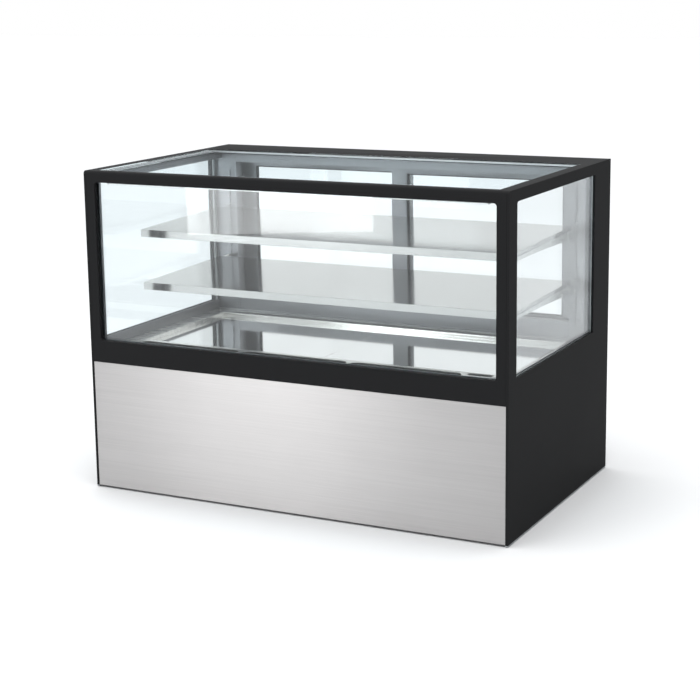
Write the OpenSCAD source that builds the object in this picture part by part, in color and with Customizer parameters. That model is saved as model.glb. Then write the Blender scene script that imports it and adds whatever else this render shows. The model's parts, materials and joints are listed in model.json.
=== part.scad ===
// Refrigerated bakery display case: a square glass showcase on an enclosed cooling base,
// with two sloping shelves, a lift-out stainless deck and sliding doors at the back.
// The origin is on the floor under the middle of the case. X runs to the right as the
// customer sees it, Y runs from the customer to the back, and Z is up.

/* [Case] */
// Overall width
case_w = 1200; // [1160:1:1260]
// Overall depth
case_d = 740; // [740:1:780]
// Overall height
case_h = 865; // [860:1:880]
// Radius along the front top edge
nose_r = 8; // [5:1:10]
// Thickness of each side panel
side_t = 7; // [6:1:9]
// Thickness of the front and top surrounds
surround_t = 12; // [12:1:13]
// Sheet thickness of the folded covers
skin_t = 2; // [1.5:0.1:2.5]

/* [Windows] */
// Height of the bottom edge of the front surround
band_z = 351; // [345:1:360]
// Height of the bottom edge of the front and side windows
window_low = 411; // [405:1:415]
// Distance from the top of the case down to the windows
window_drop = 30; // [28:1:34]
// Corner radius of the windows
window_r = 8; // [4:1:12]
// Distance from each side of the case to the front window
front_window_inset = 33; // [30:1:40]
// Distance from the front of the case to the side windows
side_window_front = 50; // [45:1:60]
// Distance from the back of the case to the side windows
side_window_rear = 127; // [120:1:140]
// Distance from the front of the case to the top window
top_window_front = 26; // [24:1:30]
// Distance from each side of the case to the top window
top_window_side = 34; // [32:1:40]
// Distance from the back of the case to the top window
top_window_rear = 142; // [130:1:160]
// Thickness of one pane
pane_t = 4; // [3:0.5:4]

/* [Deck] */
// Height of the ledge around the deck
ledge_z = 384; // [380:1:386]
// Depth of the recess that holds the deck plates
recess_drop = 12; // [8:1:16]
// Front edge of the recess
recess_front = -205; // [-215:1:-195]
// Back edge of the recess
recess_rear = 206; // [196:1:212]
// Distance from each side of the case to the recess
recess_side = 68; // [66:1:90]
// Radius of the finger holes in the deck plates
finger_r = 10; // [8:1:14]

/* [Shelves] */
// Half the length of a shelf
shelf_half = 540; // [540:1:545]
// Slope of the shelves, in degrees
shelf_tilt = 1.5; // [0.5:0.1:3]
// Height of the front edge of the upper shelf
upper_z = 688.5; // [670:0.5:700]
// Height of the front edge of the lower shelf
lower_z = 541.8; // [530:0.5:550]
// Depth of the upper shelf
upper_depth = 418; // [400:1:430]
// Depth of the lower shelf
lower_depth = 405; // [390:1:420]
// Height of the front lip
lip_h = 20; // [16:1:24]

/* [Doors] */
// Height of the bottom edge of the doors
door_low = 407; // [406:0.5:410]
// Height of the top edge of the doors
door_high = 840; // [835:0.5:843]
// Width of the upright frame bars
stile_w = 46; // [40:1:50]
// Height of the bottom frame bar
bottom_rail_h = 26; // [26:1:40]
// Height of the top frame bar
top_rail_h = 32; // [28:1:40]
// Thickness of a door
door_t = 18; // [17:1:19]
// Radius of the door rollers
roller_r = 8; // [6:0.5:9]

/* [Cooling] */
// Radius of the evaporator fans
evap_fan_r = 50; // [40:1:51]
// Radius of the condenser fan
cond_fan_r = 78; // [60:1:82]
// Radius of the compressor shell
compressor_r = 62; // [50:1:70]

/* [Feet] */
// Radius of the foot pads
pad_r = 18; // [14:1:20]
// Radius of the threaded stems
stem_r = 5; // [4:0.5:6]

/* [Hidden] */
$fn = 48;

black = "#232427";
steel = "#c9c7c5";
grey = "#9a9b9d";
zinc = "#b4b8ba";
plastic = "#2b2c2e";

// Clearance between pieces that come apart
gap = 0.3;
// Radial clearance of a shaft in its bore
running = 0.05;

half_w = case_w / 2;
front_y = -case_d / 2;
rear_y = case_d / 2;
inner_x = half_w - side_t;
window_high = case_h - window_drop;

// Glass: outer face, inner face and lower edge of the sealed units
front_glass_y = front_y + surround_t;
unit_t = 3 * pane_t;
glass_in_y = front_glass_y + unit_t;
glass_in_x = inner_x - unit_t;
glass_low = ledge_z + 15;
glass_high = case_h - 20;
side_glass_rear = rear_y - 108;
top_glass_low = case_h - unit_t;

// Bottom: frame, tub and the ledge around the deck
skirt_low = 1.5;
skirt_top = 5;
web_top = 43;
web_t = 2;
channel_w = 50;
frame_x = inner_x - 1;
frame_front = front_y + 22;
frame_rear = rear_y - 14;
frame_sheet = 2;
upright_w = 30;
tub_low = 234;
tub_high = ledge_z - 2;
tub_front = front_y + 24;
tub_rear = rear_y - 74;
cavity_x = 550;
cavity_front = -310;
cavity_rear = 240;
cavity_floor = 259;
recess_x = half_w - recess_side;
plate_z = ledge_z - recess_drop;

// Feet stand in the front and back channels, clear of the uprights
foot_x = frame_x - 62;
foot_front = frame_front + channel_w / 2;
foot_rear = frame_rear - channel_w / 2;

// Air slots in the ledges: start and pitch of the front row and of the back row
front_slots = [-530, 321];
rear_slots = [-505, 331];
slot_count = 3;
slot_tab = 10;
// Pocket for the air sensor in the front ledge, and the flange under the deck plates
sensor_pocket = [[436, recess_front - 30], [500, recess_front - 6]];
flange_w = 12;
ledge_x = glass_in_x - 2;

// Back: pillars, door opening and tracks
pillar_y = rear_y - 100;
pillar_d = 28.5;
pillar_x = half_w - 84;
jamb_x = half_w - 65;
track_front = pillar_y + pillar_d + 1;
track_rear = rear_y - 14.5;
cover_y = rear_y - 14;
cover_t = 2;
plinth_z = ledge_z + 12;
low_wall_h = 45;
outer_track_y = rear_y - 28;
inner_track_y = rear_y - 56;
rib_w = 3;
rib_top = plinth_z + 6;
door_x = jamb_x - 4;
door_lap = 23;
roller_z = rib_top + gap + roller_r;
axle_r = 2.5;
outer_roller_x = -door_x + 60;
inner_roller_x = door_lap - 60;
pull_size = [22, 116];
pull_depth = 11;
pull_z = 620;

// Shelves and the slot column that carries their brackets
upper_front = -200;
lower_front = -195;
sheet = 1.5;
bracket_x = shelf_half - 5;
bracket_t = 3;
slot_x = bracket_x + bracket_t / 2;
slot_size = [4, 18];
slot_pitch = 30;
first_slot = 421;
last_slot = 781;

// Cooling parts
evap_fan_x = 200;
evap_fan_z = 314.5;
fan_plate_y = 48;
evap_fan_y = fan_plate_y - 2;
coil_half = 360;
cond_x = -350;
cond_z = 139;
cond_half = 150;
shroud_y = rear_y - 87;
cond_fan_y = shroud_y - 2;
// The condenser tubes lie half way through the fins, and their bends stand out this far at each end
cond_tube_y = shroud_y + 41;
cond_bend_x = cond_half + 4;
compressor_x = 150;
compressor_y = 110;
drain_x = 340;
drain_y = -150;
line_x = -430;
line_y = 150;
line_hole_r = 14;

// Controls on the rear fascia
fascia_low = 247;
fascia_high = plinth_z + 8;
control_z = 328;
control_x = -300;
power_x = -410;
light_x = -460;
button_r = 4;
button_travel = 1.2;
button_pitch = 13;
button_x = [for (i = [0:2]) control_x + 4 + i * button_pitch];
bezel_y = cover_y + cover_t;
rocker_r = 11.8;
rocker_w = 18;
rocker_y = rear_y - 16;
rocker_tilt = 8;
gland_x = 540;
gland_z = 70;
gland_bore = 4.2;
screw_x = inner_x - 18;
screw_z = [25, 130, 225, 262, 372];
screw_r = 2;

// Louvres of the rear grille
louvre_x = [-430, -270, 120, 280];
louvre_w = 150;
louvre_h = 7;
louvre_pitch = 16;
louvre_rows = 11;

// ---- Shapes used by several pieces ----

// Block between two corners
module block(low, high) translate(low) cube(high - low);

// Rectangle between two corners
module rect(low, high) translate(low) square(high - low);

// Rectangle with four round corners
module round_rect(low, high, r) {
    rect(low + [r, 0], high - [r, 0]);
    rect(low + [0, r], high - [0, r]);
    for (x = [low.x + r, high.x - r], y = [low.y + r, high.y - r]) translate([x, y]) circle(r);
}

// Rectangle whose front top corner alone is round
module nose_rect(low, high, r) {
    rect(low, [high.x, high.y - r]);
    rect([low.x + r, low.y], high);
    translate([low.x + r, high.y - r]) circle(r);
}

// Outline in (y, z) carried along x, outline in (x, z) carried along y, outline in (x, y)
// carried along z
module along_x(from, to) translate([from, 0, 0]) rotate([90, 0, 90]) linear_extrude(to - from)
    children();
module along_y(from, to) translate([0, to, 0]) rotate([90, 0, 0]) linear_extrude(to - from)
    children();
module along_z(from, to) translate([0, 0, from]) linear_extrude(to - from) children();

// Round bar along y at (x, z)
module rod_y(x, z, r, from, to) translate([x, to, z]) rotate([90, 0, 0]) cylinder(r = r, h = to - from);

// Round bar between two points
module rod(a, b, r) {
    d = b - a;
    translate(a) rotate([0, acos(d.z / norm(d)), atan2(d.y, d.x)]) cylinder(r = r, h = norm(d));
}

// Tube through a list of points, with a brazed ball fitting at each corner
module pipe(points, r) {
    for (i = [1:len(points) - 1]) rod(points[i - 1], points[i], r);
    for (i = [1:len(points) - 2]) translate(points[i]) rotate([50, 40, 0]) sphere(r + 1.5);
}

module both_sides() {
    children();
    mirror([1, 0, 0]) children();
}

// U-shaped strip, open at the back: outer corner, inner corner and its back edge
module u_strip(outer_x, outer_y, inner_x, inner_y, back_y) difference() {
    rect([-outer_x, outer_y], [outer_x, back_y]);
    rect([-inner_x, inner_y], [inner_x, back_y + 1]);
}

// Row of round-ended air slots: [start, pitch], front edge and back edge
module slot_row(row, y0, y1) for (i = [0:slot_count - 1])
    round_rect([row[0] + i * row[1], y0], [row[0] + (i + 1) * row[1] - slot_tab, y1], (y1 - y0) / 2 - 1);

module at_screws() for (x = [-screw_x, screw_x], z = screw_z) translate([x, 0, z]) children();

// ---- Casing ----

module side_panel() color(black) difference() {
    along_x(inner_x, half_w) difference() {
        nose_rect([front_y, skirt_top], [rear_y, case_h], nose_r);
        nose_rect([front_y + side_window_front, window_low], [rear_y - side_window_rear, window_high],
            window_r);
    }
    along_x(inner_x - 1, half_w - skin_t) difference() {
        nose_rect([front_y + skin_t, skirt_top + skin_t], [rear_y - skin_t, case_h - skin_t], nose_r);
        nose_rect([front_y + side_window_front - skin_t, window_low - skin_t],
            [rear_y - side_window_rear + skin_t, window_high + skin_t], window_r);
    }
}

module side_panel_left() mirror([1, 0, 0]) side_panel();

module side_panel_right() side_panel();

module front_surround() color(black) difference() {
    intersection() {
        along_y(front_y, front_glass_y) difference() {
            rect([-inner_x, band_z], [inner_x, case_h]);
            round_rect([-half_w + front_window_inset, window_low],
                [half_w - front_window_inset, window_high], window_r);
        }
        along_x(-inner_x, inner_x) nose_rect([front_y, band_z], [rear_y, case_h], nose_r);
    }
    along_y(front_y + skin_t + 1, front_glass_y + 1) difference() {
        rect([-inner_x + skin_t, band_z + skin_t], [inner_x - skin_t, case_h - skin_t - 1]);
        round_rect([-half_w + front_window_inset - skin_t, window_low - skin_t],
            [half_w - front_window_inset + skin_t, window_high + skin_t], window_r);
    }
}

module top_surround() color(black) difference() {
    along_z(case_h - surround_t, case_h) difference() {
        rect([-inner_x, front_glass_y], [inner_x, rear_y]);
        rect([-half_w + top_window_side, front_y + top_window_front],
            [half_w - top_window_side, rear_y - top_window_rear]);
    }
    along_z(case_h - surround_t - 1, case_h - skin_t) difference() {
        rect([-inner_x + skin_t, front_glass_y + skin_t], [inner_x - skin_t, rear_y - skin_t]);
        rect([-half_w + top_window_side - skin_t, front_y + top_window_front - skin_t],
            [half_w - top_window_side + skin_t, rear_y - top_window_rear + skin_t]);
    }
}

module front_panel() color(steel) {
    low = [-inner_x + gap, front_y + 1, skirt_top + 1];
    high = [inner_x - gap, front_y + 20, band_z - gap];
    difference() {
        block(low, high);
        block(low + [sheet, sheet, sheet], high + [-sheet, 1, -sheet]);
    }
}

// ---- Base frame and feet ----

module ring(inset) rect([-frame_x + inset, frame_front + inset], [frame_x - inset, frame_rear - inset]);

module square_tube(x, y, low, high) along_z(low, high) difference() {
    rect([x, y], [x + upright_w, y + upright_w]);
    rect([x + frame_sheet, y + frame_sheet], [x + upright_w - frame_sheet, y + upright_w - frame_sheet]);
}

module at_feet() for (x = [-foot_x, foot_x], y = [foot_front, foot_rear]) translate([x, y, 0]) children();

module base_frame() color(zinc) difference() {
    union() {
        along_z(web_top - web_t, web_top) difference() {
            ring(0);
            ring(channel_w);
        }
        along_z(skirt_low, web_top) difference() {
            ring(0);
            ring(frame_sheet);
        }
        along_z(12, web_top) difference() {
            ring(channel_w - frame_sheet);
            ring(channel_w);
        }
        both_sides() block([frame_x, front_y + 1, skirt_low], [half_w, rear_y - 1, skirt_top]);
        for (x = [-200, 170]) along_y(frame_front + channel_w, frame_rear - channel_w) difference() {
            rect([x, 12], [x + upright_w, web_top]);
            rect([x + frame_sheet, 11], [x + upright_w - frame_sheet, web_top - web_t]);
        }
        both_sides() {
            square_tube(frame_x - upright_w, frame_front + 2, web_top, tub_low);
            square_tube(frame_x - upright_w, frame_rear - upright_w, web_top, tub_high);
        }
    }
    at_feet() translate([0, 0, web_top - web_t - 1]) cylinder(r = stem_r + 0.25, h = web_t + 2);
    at_screws() rod_y(0, 0, screw_r, frame_rear - frame_sheet - 1, frame_rear + 1);
}

module base_pan() color(zinc) along_z(web_top, web_top + sheet)
    rect([-frame_x + channel_w - 10, frame_front + channel_w - 8],
        [frame_x - channel_w + 10, frame_rear - channel_w + 8]);

module levelling_feet() color(plastic) at_feet() {
    cylinder(r = pad_r, h = 5);
    cylinder(r1 = pad_r - 4, r2 = stem_r + 3, h = 12);
    cylinder(r = stem_r, h = web_top + 12);
    translate([0, 0, web_top - web_t - 6]) cylinder(r = stem_r + 4, h = 6, $fn = 6);
}

// ---- Tub and deck ----

// Foam-cored panels: the floor, and the four walls that stand on it
module insulated_tub() color("#d8d6cf") {
    wall_low = cavity_floor + gap;
    difference() {
        block([-frame_x, tub_front, tub_low], [frame_x, tub_rear, cavity_floor]);
        translate([drain_x, drain_y, tub_low - 1]) cylinder(r = 10, h = cavity_floor - tub_low + 2);
        translate([line_x, line_y, tub_low - 1]) cylinder(r = line_hole_r, h = cavity_floor - tub_low + 2);
    }
    for (wall = [[tub_front, cavity_front], [cavity_rear, tub_rear]])
        block([-frame_x, wall[0], wall_low], [frame_x, wall[1], tub_high]);
    both_sides() block([cavity_x, cavity_front + gap, wall_low], [frame_x, cavity_rear - gap, tub_high]);
}

// Fold at the edge of a long ledge: the wall of the recess and the flange that carries the
// plates. dir is 1 at the back of the recess and -1 at its front.
module long_fold(edge, dir) {
    half = recess_x - gap;
    block([-half, min(edge, edge + 2 * dir), plate_z - 2], [half, max(edge, edge + 2 * dir), ledge_z - 2]);
    block([-half, min(edge, edge - flange_w * dir), plate_z - 2],
        [half, max(edge, edge - flange_w * dir), plate_z]);
}

module front_ledge() {
    along_z(ledge_z - 2, ledge_z) difference() {
        rect([-ledge_x, glass_in_y + 2], [ledge_x, recess_front]);
        slot_row(front_slots, recess_front - 60, recess_front - 14);
        rect(sensor_pocket[0], sensor_pocket[1]);
    }
    long_fold(recess_front, -1);
}

// The back ledge is a folded strip and a plain strip, with cross bars that leave the air slots
// between them
module back_ledge() {
    slots_low = recess_rear + 10;
    slots_high = recess_rear + 28;
    along_z(ledge_z - 2, ledge_z) {
        rect([-ledge_x, recess_rear], [ledge_x, slots_low]);
        rect([-ledge_x, slots_high], [ledge_x, rear_y - 102]);
        for (i = [0:slot_count]) {
            slot_start = rear_slots[0] + i * rear_slots[1];
            rect([i == 0 ? -ledge_x : slot_start - slot_tab, slots_low + gap],
                [i == slot_count ? ledge_x : slot_start, slots_high - gap]);
        }
    }
    long_fold(recess_rear, 1);
}

// One end ledge of the deck rim, folded the same way
module end_ledge() {
    low = recess_front + gap;
    high = recess_rear - gap;
    block([recess_x, low, ledge_z - 2], [ledge_x, high, ledge_z]);
    block([recess_x, low, plate_z - 2], [recess_x + 2, high, ledge_z - 2]);
    block([recess_x - flange_w, low + flange_w, plate_z - 2], [recess_x, high - flange_w, plate_z]);
}

module deck_rim() color(steel) {
    front_ledge();
    back_ledge();
    both_sides() end_ledge();
    // Bar under the seam between the two plates
    block([-flange_w, recess_front + flange_w + gap, plate_z - 2],
        [flange_w, recess_rear - flange_w - gap, plate_z]);
}

module deck_plate() color(steel) along_z(plate_z + gap, plate_z + gap + sheet) difference() {
    rect([gap, recess_front + gap], [recess_x - gap, recess_rear - gap]);
    translate([recess_x - 57, recess_rear - 46]) circle(finger_r);
}

module deck_plate_left() mirror([1, 0, 0]) deck_plate();

module deck_plate_right() deck_plate();

// ---- Glazing ----

module sill_bar(low, high) difference() {
    block(low, high);
    block(low + [-1, skin_t, skin_t], high + [1, -skin_t, -skin_t]);
}

module glass_sill() color(black) {
    sill_bar([-frame_x + 1, front_glass_y + 0.5, band_z + 2],
        [frame_x - 1, glass_in_y - 0.5, glass_low - gap]);
    both_sides() difference() {
        block([glass_in_x + 0.5, glass_in_y + 2, tub_high],
            [inner_x - 0.5, side_glass_rear, glass_low - gap]);
        block([glass_in_x + 0.5 + skin_t, glass_in_y + 1, tub_high + skin_t],
            [inner_x - 0.5 - skin_t, side_glass_rear + 1, glass_low - gap - skin_t]);
    }
}

module front_glass() color("#dff0f2", 0.3) for (y = [front_glass_y, glass_in_y - pane_t])
    block([-inner_x + 1, y, glass_low], [inner_x - 1, y + pane_t, glass_high]);

module side_glass() color("#dff0f2", 0.3) both_sides() for (x = [glass_in_x, inner_x - pane_t])
    block([x, glass_in_y + 2, glass_low], [x + pane_t, side_glass_rear, glass_high]);

module top_glass() color("#dff0f2", 0.3) for (z = [top_glass_low, case_h - pane_t])
    block([-half_w + top_window_side + gap, front_y + top_window_front + gap, z],
        [half_w - top_window_side - gap, rear_y - top_window_rear - gap, z + pane_t]);

module top_rails() color(grey) {
    rail_in_x = half_w - 37;
    rail_in_y = front_y + 36;
    back = pillar_y - gap;
    along_z(window_high, glass_high + 1) u_strip(glass_in_x, glass_in_y, rail_in_x, rail_in_y, back);
    along_z(glass_high + 1, top_glass_low)
        u_strip(inner_x - gap, front_glass_y, rail_in_x - 5, rail_in_y, back);
}

module inner_trim() color(black) {
    along_z(ledge_z, window_low)
        u_strip(glass_in_x, glass_in_y, glass_in_x - 2, glass_in_y + 2, side_glass_rear);
    both_sides() along_z(window_low, window_high) difference() {
        rect([glass_in_x - 14, glass_in_y], [glass_in_x, glass_in_y + 26]);
        rect([glass_in_x - 15, glass_in_y + 1.5], [glass_in_x - 1.5, glass_in_y + 27]);
    }
}

// ---- Back of the showcase ----

module rear_pillars() color(grey) both_sides() difference() {
    union() {
        along_z(ledge_z, top_glass_low) difference() {
            rect([pillar_x, pillar_y], [inner_x - 0.5, pillar_y + pillar_d]);
            rect([pillar_x + skin_t, pillar_y + skin_t],
                [inner_x - 0.5 - skin_t, pillar_y + pillar_d - skin_t]);
        }
        along_z(ledge_z, top_glass_low) difference() {
            rect([jamb_x, pillar_y + pillar_d], [inner_x - 0.5, cover_y]);
            rect([jamb_x + skin_t, pillar_y + pillar_d + skin_t],
                [inner_x - 0.5 - skin_t, cover_y - skin_t]);
        }
    }
    for (z = [first_slot:slot_pitch:last_slot])
        block([slot_x - slot_size.x / 2, pillar_y - 1, z],
            [slot_x + slot_size.x / 2, pillar_y + skin_t + 1, z + slot_size.y]);
}

module head_beam() color(grey) {
    along_x(-pillar_x + gap, pillar_x - gap) difference() {
        rect([pillar_y, glass_high - 20], [pillar_y + pillar_d, top_glass_low]);
        rect([pillar_y + skin_t, glass_high - 20 + skin_t],
            [pillar_y + pillar_d - skin_t, top_glass_low - skin_t]);
    }
    along_x(-jamb_x + gap, jamb_x - gap) {
        rect([pillar_y + pillar_d, top_glass_low - skin_t], [cover_y, top_glass_low]);
        rect([cover_y, door_high - 14], [cover_y + cover_t, top_glass_low]);
    }
}

module rear_sill() color(grey) {
    block([-inner_x + 0.5, pillar_y - 1.7, tub_high], [inner_x - 0.5, cover_y, ledge_z]);
    along_x(-pillar_x + gap, pillar_x - gap) difference() {
        rect([pillar_y, ledge_z], [pillar_y + 20, ledge_z + low_wall_h]);
        rect([pillar_y + skin_t, ledge_z], [pillar_y + 20 - skin_t, ledge_z + low_wall_h - skin_t]);
    }
    along_x(-jamb_x + gap, jamb_x - gap) difference() {
        rect([pillar_y + pillar_d + gap, ledge_z], [cover_y, plinth_z]);
        rect([pillar_y + pillar_d + gap + skin_t, ledge_z], [cover_y - skin_t, plinth_z - skin_t]);
    }
}

module door_tracks() color(zinc) along_x(-jamb_x + 0.6, jamb_x - 0.6) {
    lip_w = 2;
    lip_top = door_low - 2;
    rect([track_front, plinth_z], [track_rear, plinth_z + 2]);
    for (y = [track_front, (inner_track_y + outer_track_y - lip_w) / 2, track_rear - lip_w])
        rect([y, plinth_z], [y + lip_w, lip_top]);
    for (y = [inner_track_y, outer_track_y]) rect([y - rib_w / 2, plinth_z], [y + rib_w / 2, rib_top]);
    difference() {
        rect([track_front, door_high - 8], [track_rear, top_glass_low - skin_t]);
        for (y = [inner_track_y, outer_track_y])
            rect([y - door_t / 2 - 1, door_high - 9], [y + door_t / 2 + 1, door_high + 5]);
    }
}

// ---- Sliding doors: the left one, on the track at y ----

module door_frame(y) color(grey) {
    glazed_low = [-door_x + stile_w, y, door_low + bottom_rail_h];
    glazed_high = [door_lap - stile_w, y, door_high - top_rail_h];
    half_t = door_t / 2;
    pull_x = -door_x + stile_w / 2;
    difference() {
        block([-door_x, y - half_t, door_low], [door_lap, y + half_t, door_high]);
        block(glazed_low - [0, half_t + 1, 0], glazed_high + [0, half_t + 1, 0]);
        block(glazed_low - [8, 2.5, 8], glazed_high + [8, 2.5, 8]);
        block([pull_x - pull_size.x / 2, y + half_t - pull_depth, pull_z - pull_size.y / 2],
            [pull_x + pull_size.x / 2, y + half_t + 1, pull_z + pull_size.y / 2]);
        for (x = [outer_roller_x, inner_roller_x])
            block([x - 13, y - 4.5, door_low - 1], [x + 13, y + 4.5, roller_z + roller_r + 5]);
    }
    for (x = [outer_roller_x, inner_roller_x]) rod_y(x, roller_z, axle_r, y - 6, y + 6);
}

module door_glass(y) color("#dff0f2", 0.3)
    block([-door_x + stile_w - 8, y - 2.5, door_low + bottom_rail_h - 8],
        [door_lap - stile_w + 8, y + 2.5, door_high - top_rail_h + 8]);

module door_pull(y) color(plastic) translate([-door_x + stile_w / 2, y + door_t / 2, pull_z]) {
    half = [pull_size.x / 2, 0, pull_size.y / 2];
    difference() {
        union() {
            block([-half.x, -pull_depth, -half.z], [half.x, 0, half.z]);
            along_y(0, 1.2) round_rect([-half.x - 3, -half.z - 3], [half.x + 3, half.z + 3], 4);
        }
        block([-half.x + sheet, -pull_depth + sheet, -half.z + sheet], [half.x - sheet, 2, half.z - sheet]);
    }
}

// Grooved roller that straddles the rib of the track
module roller(x, y) color(plastic) translate([x, y, roller_z]) rotate([90, 0, 0])
    rotate_extrude() difference() {
        rect([axle_r + running, -3.8], [roller_r + 2, 3.8]);
        rect([roller_r, -rib_w / 2 - gap], [roller_r + 3, rib_w / 2 + gap]);
    }

module door_frame_left() door_frame(outer_track_y);

module door_frame_right() mirror([1, 0, 0]) door_frame(inner_track_y);

module door_glass_left() door_glass(outer_track_y);

module door_glass_right() mirror([1, 0, 0]) door_glass(inner_track_y);

module door_pull_left() door_pull(outer_track_y);

module door_pull_right() mirror([1, 0, 0]) door_pull(inner_track_y);

module roller_left_outer() roller(outer_roller_x, outer_track_y);

module roller_left_inner() roller(inner_roller_x, outer_track_y);

module roller_right_outer() roller(-outer_roller_x, inner_track_y);

module roller_right_inner() roller(-inner_roller_x, inner_track_y);

// ---- Shelves, in a frame that starts at the front edge and follows the slope ----

module on_slope(y, z) translate([0, y, z]) rotate([shelf_tilt, 0, 0]) children();

module shelf(y, z, depth) color(steel) on_slope(y, z) {
    block([-shelf_half, 0, -sheet], [shelf_half, depth, 0]);
    block([-shelf_half, 0, -lip_h], [shelf_half, sheet, 0]);
    block([-shelf_half, 0, -lip_h], [shelf_half, 12, -lip_h + sheet]);
    both_sides() block([shelf_half - sheet, 0, -12], [shelf_half, depth, 0]);
}

module shelf_light(y, z) color("#e8eef2") on_slope(y, z)
    block([-445, 14, -13], [445, 32, -sheet]);

// Height of the underside of a shelf above the given place, and how deep its bracket is there
function shelf_underside(front, z, y) = z + (y - front) * tan(shelf_tilt) - sheet - gap;
function bracket_depth(t) = 21 + 20 * t * t;

module shelf_bracket(front, z, first) {
    y0 = front + 15;
    steps = 10;
    span = pillar_y - y0;
    along_x(bracket_x, bracket_x + bracket_t) {
        polygon(concat(
            [[y0, shelf_underside(front, z, y0)], [pillar_y, shelf_underside(front, z, pillar_y)]],
            [for (i = [steps:-1:0]) let (t = i / steps, y = y0 + span * t)
                [y, shelf_underside(front, z, y) - bracket_depth(t)]]));
        for (hook = [first, first + slot_pitch]) {
            rect([pillar_y - 1, hook + 3], [pillar_y + skin_t + gap, hook + 12]);
            rect([pillar_y + skin_t + gap, hook - 1], [pillar_y + skin_t + gap + bracket_t, hook + 12]);
        }
    }
}

module shelf_brackets() color(steel) both_sides() {
    shelf_bracket(upper_front, upper_z, first_slot + 8 * slot_pitch);
    shelf_bracket(lower_front, lower_z, first_slot + 3 * slot_pitch);
}

module shelf_upper() shelf(upper_front, upper_z, upper_depth);

module shelf_lower() shelf(lower_front, lower_z, lower_depth);

module shelf_light_upper() shelf_light(upper_front, upper_z);

module shelf_light_lower() shelf_light(lower_front, lower_z);

module top_light() color("#e8eef2")
    block([-shelf_half, glass_in_y + 0.3, window_high - 6], [shelf_half, glass_in_y + 12, window_high]);

// ---- Cooling parts ----

// Fin stack with its tube rows, between half lengths, in the box from low to high (y, z)
module finned_coil(half, low, high, fins, rows) {
    pitch = 2 * half / (fins - 1);
    row_step = (high.y - low.y) / rows;
    col_step = (high.x - low.x) / 2;
    for (i = [0:fins - 1]) along_x(-half + i * pitch - 0.5, -half + i * pitch + 0.5) rect(low, high);
    for (row = [0:rows - 1]) {
        z = low.y + row_step * (row + 0.5);
        y = low.x + col_step / 2;
        for (c = [0, 1]) translate([-half - 4, y + c * col_step, z]) rotate([0, 90, 0])
            cylinder(r = 4, h = 2 * half + 8);
        both_sides() translate([half + 4, y + col_step / 2, z]) rotate([0, 0, -90])
            rotate_extrude(angle = 180) translate([col_step / 2, 0]) circle(4);
    }
}

module evaporator_coil() color(grey)
    finned_coil(coil_half, [90, 268], [190, 352], 25, 3);

module condenser_coil() color(grey) translate([cond_x, 0, 0])
    finned_coil(cond_half - 20, [shroud_y + 22, 58], [shroud_y + 60, 220], 14, 5);

module fan_plate() color(zinc) {
    along_y(fan_plate_y, fan_plate_y + sheet) difference() {
        rect([-cavity_x + 0.5, cavity_floor], [cavity_x - 0.5, plate_z - 3]);
        for (x = [-evap_fan_x, evap_fan_x]) translate([x, evap_fan_z]) circle(evap_fan_r + 2);
    }
    for (x = [-evap_fan_x, evap_fan_x])
        rotate_tube(x, evap_fan_z, evap_fan_r + 2, fan_plate_y - 8, fan_plate_y);
}

// Thin round collar along y
module rotate_tube(x, z, r, from, to) difference() {
    rod_y(x, z, r + sheet, from, to);
    rod_y(x, z, r, from - 1, to + 1);
}

// Fan about the y axis: hub with a blind shaft bore, and pitched blades
module fan(x, z, r, y, hub_r, blades) color(plastic) translate([x, y, z]) difference() {
    union() {
        rod_y(0, 0, hub_r, -10, 12);
        intersection() {
            rod_y(0, 0, r, -12, 12);
            for (i = [0:blades - 1]) rotate([0, i * 360 / blades, 0])
                translate([0, 0, hub_r - 3]) rotate([0, 0, 32])
                    block([-r * 0.36, -0.8, 0], [r * 0.36, 0.8, r]);
        }
    }
    rod_y(0, 0, 3 + running, -11, 6);
}

// Motor behind a fan: body, shaft and four arms that reach a plate
module fan_motor(x, z, y, r, arm_r, arm_y, plate_y) {
    rod_y(x, z, r, y - 44, y - 14);
    rod_y(x, z, 3, y - 15, y + 4);
    for (a = [35, 145, 215, 325]) {
        tip = [x + arm_r * cos(a), arm_y, z + arm_r * sin(a)];
        rod([x + (r - 2) * cos(a), arm_y, z + (r - 2) * sin(a)], tip, 2.5);
        translate(tip) sphere(3.2);
        rod(tip, [tip.x, plate_y, tip.z], 2.5);
    }
}

module fan_motors() color("#55585c") {
    for (x = [-evap_fan_x, evap_fan_x])
        fan_motor(x, evap_fan_z, evap_fan_y, 20, evap_fan_r + 9, evap_fan_y - 24, fan_plate_y);
    fan_motor(cond_x, cond_z, cond_fan_y, 30, cond_fan_r + 9, cond_fan_y - 30, shroud_y);
}

module evap_fan_left() fan(-evap_fan_x, evap_fan_z, evap_fan_r, evap_fan_y, 17, 5);

module evap_fan_right() fan(evap_fan_x, evap_fan_z, evap_fan_r, evap_fan_y, 17, 5);

module condenser_fan() fan(cond_x, cond_z, cond_fan_r, cond_fan_y, 24, 5);

module fan_shroud() color(black) {
    low = [cond_x - cond_half, 50];
    high = [cond_x + cond_half, 228];
    along_y(shroud_y, shroud_y + sheet) difference() {
        rect(low, high);
        translate([cond_x, cond_z]) circle(cond_fan_r + 3);
    }
    along_y(shroud_y + sheet, shroud_y + 20) difference() {
        rect(low, high);
        rect(low + [sheet, sheet], high - [sheet, sheet]);
    }
    rotate_tube(cond_x, cond_z, cond_fan_r + 3, shroud_y - 10, shroud_y);
    both_sides_of(cond_x) block([cond_x + cond_half - 30, shroud_y, web_top + sheet],
        [cond_x + cond_half - 28, shroud_y + 20, 50]);
}

module both_sides_of(x) {
    children();
    translate([2 * x, 0, 0]) mirror([1, 0, 0]) children();
}

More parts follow.
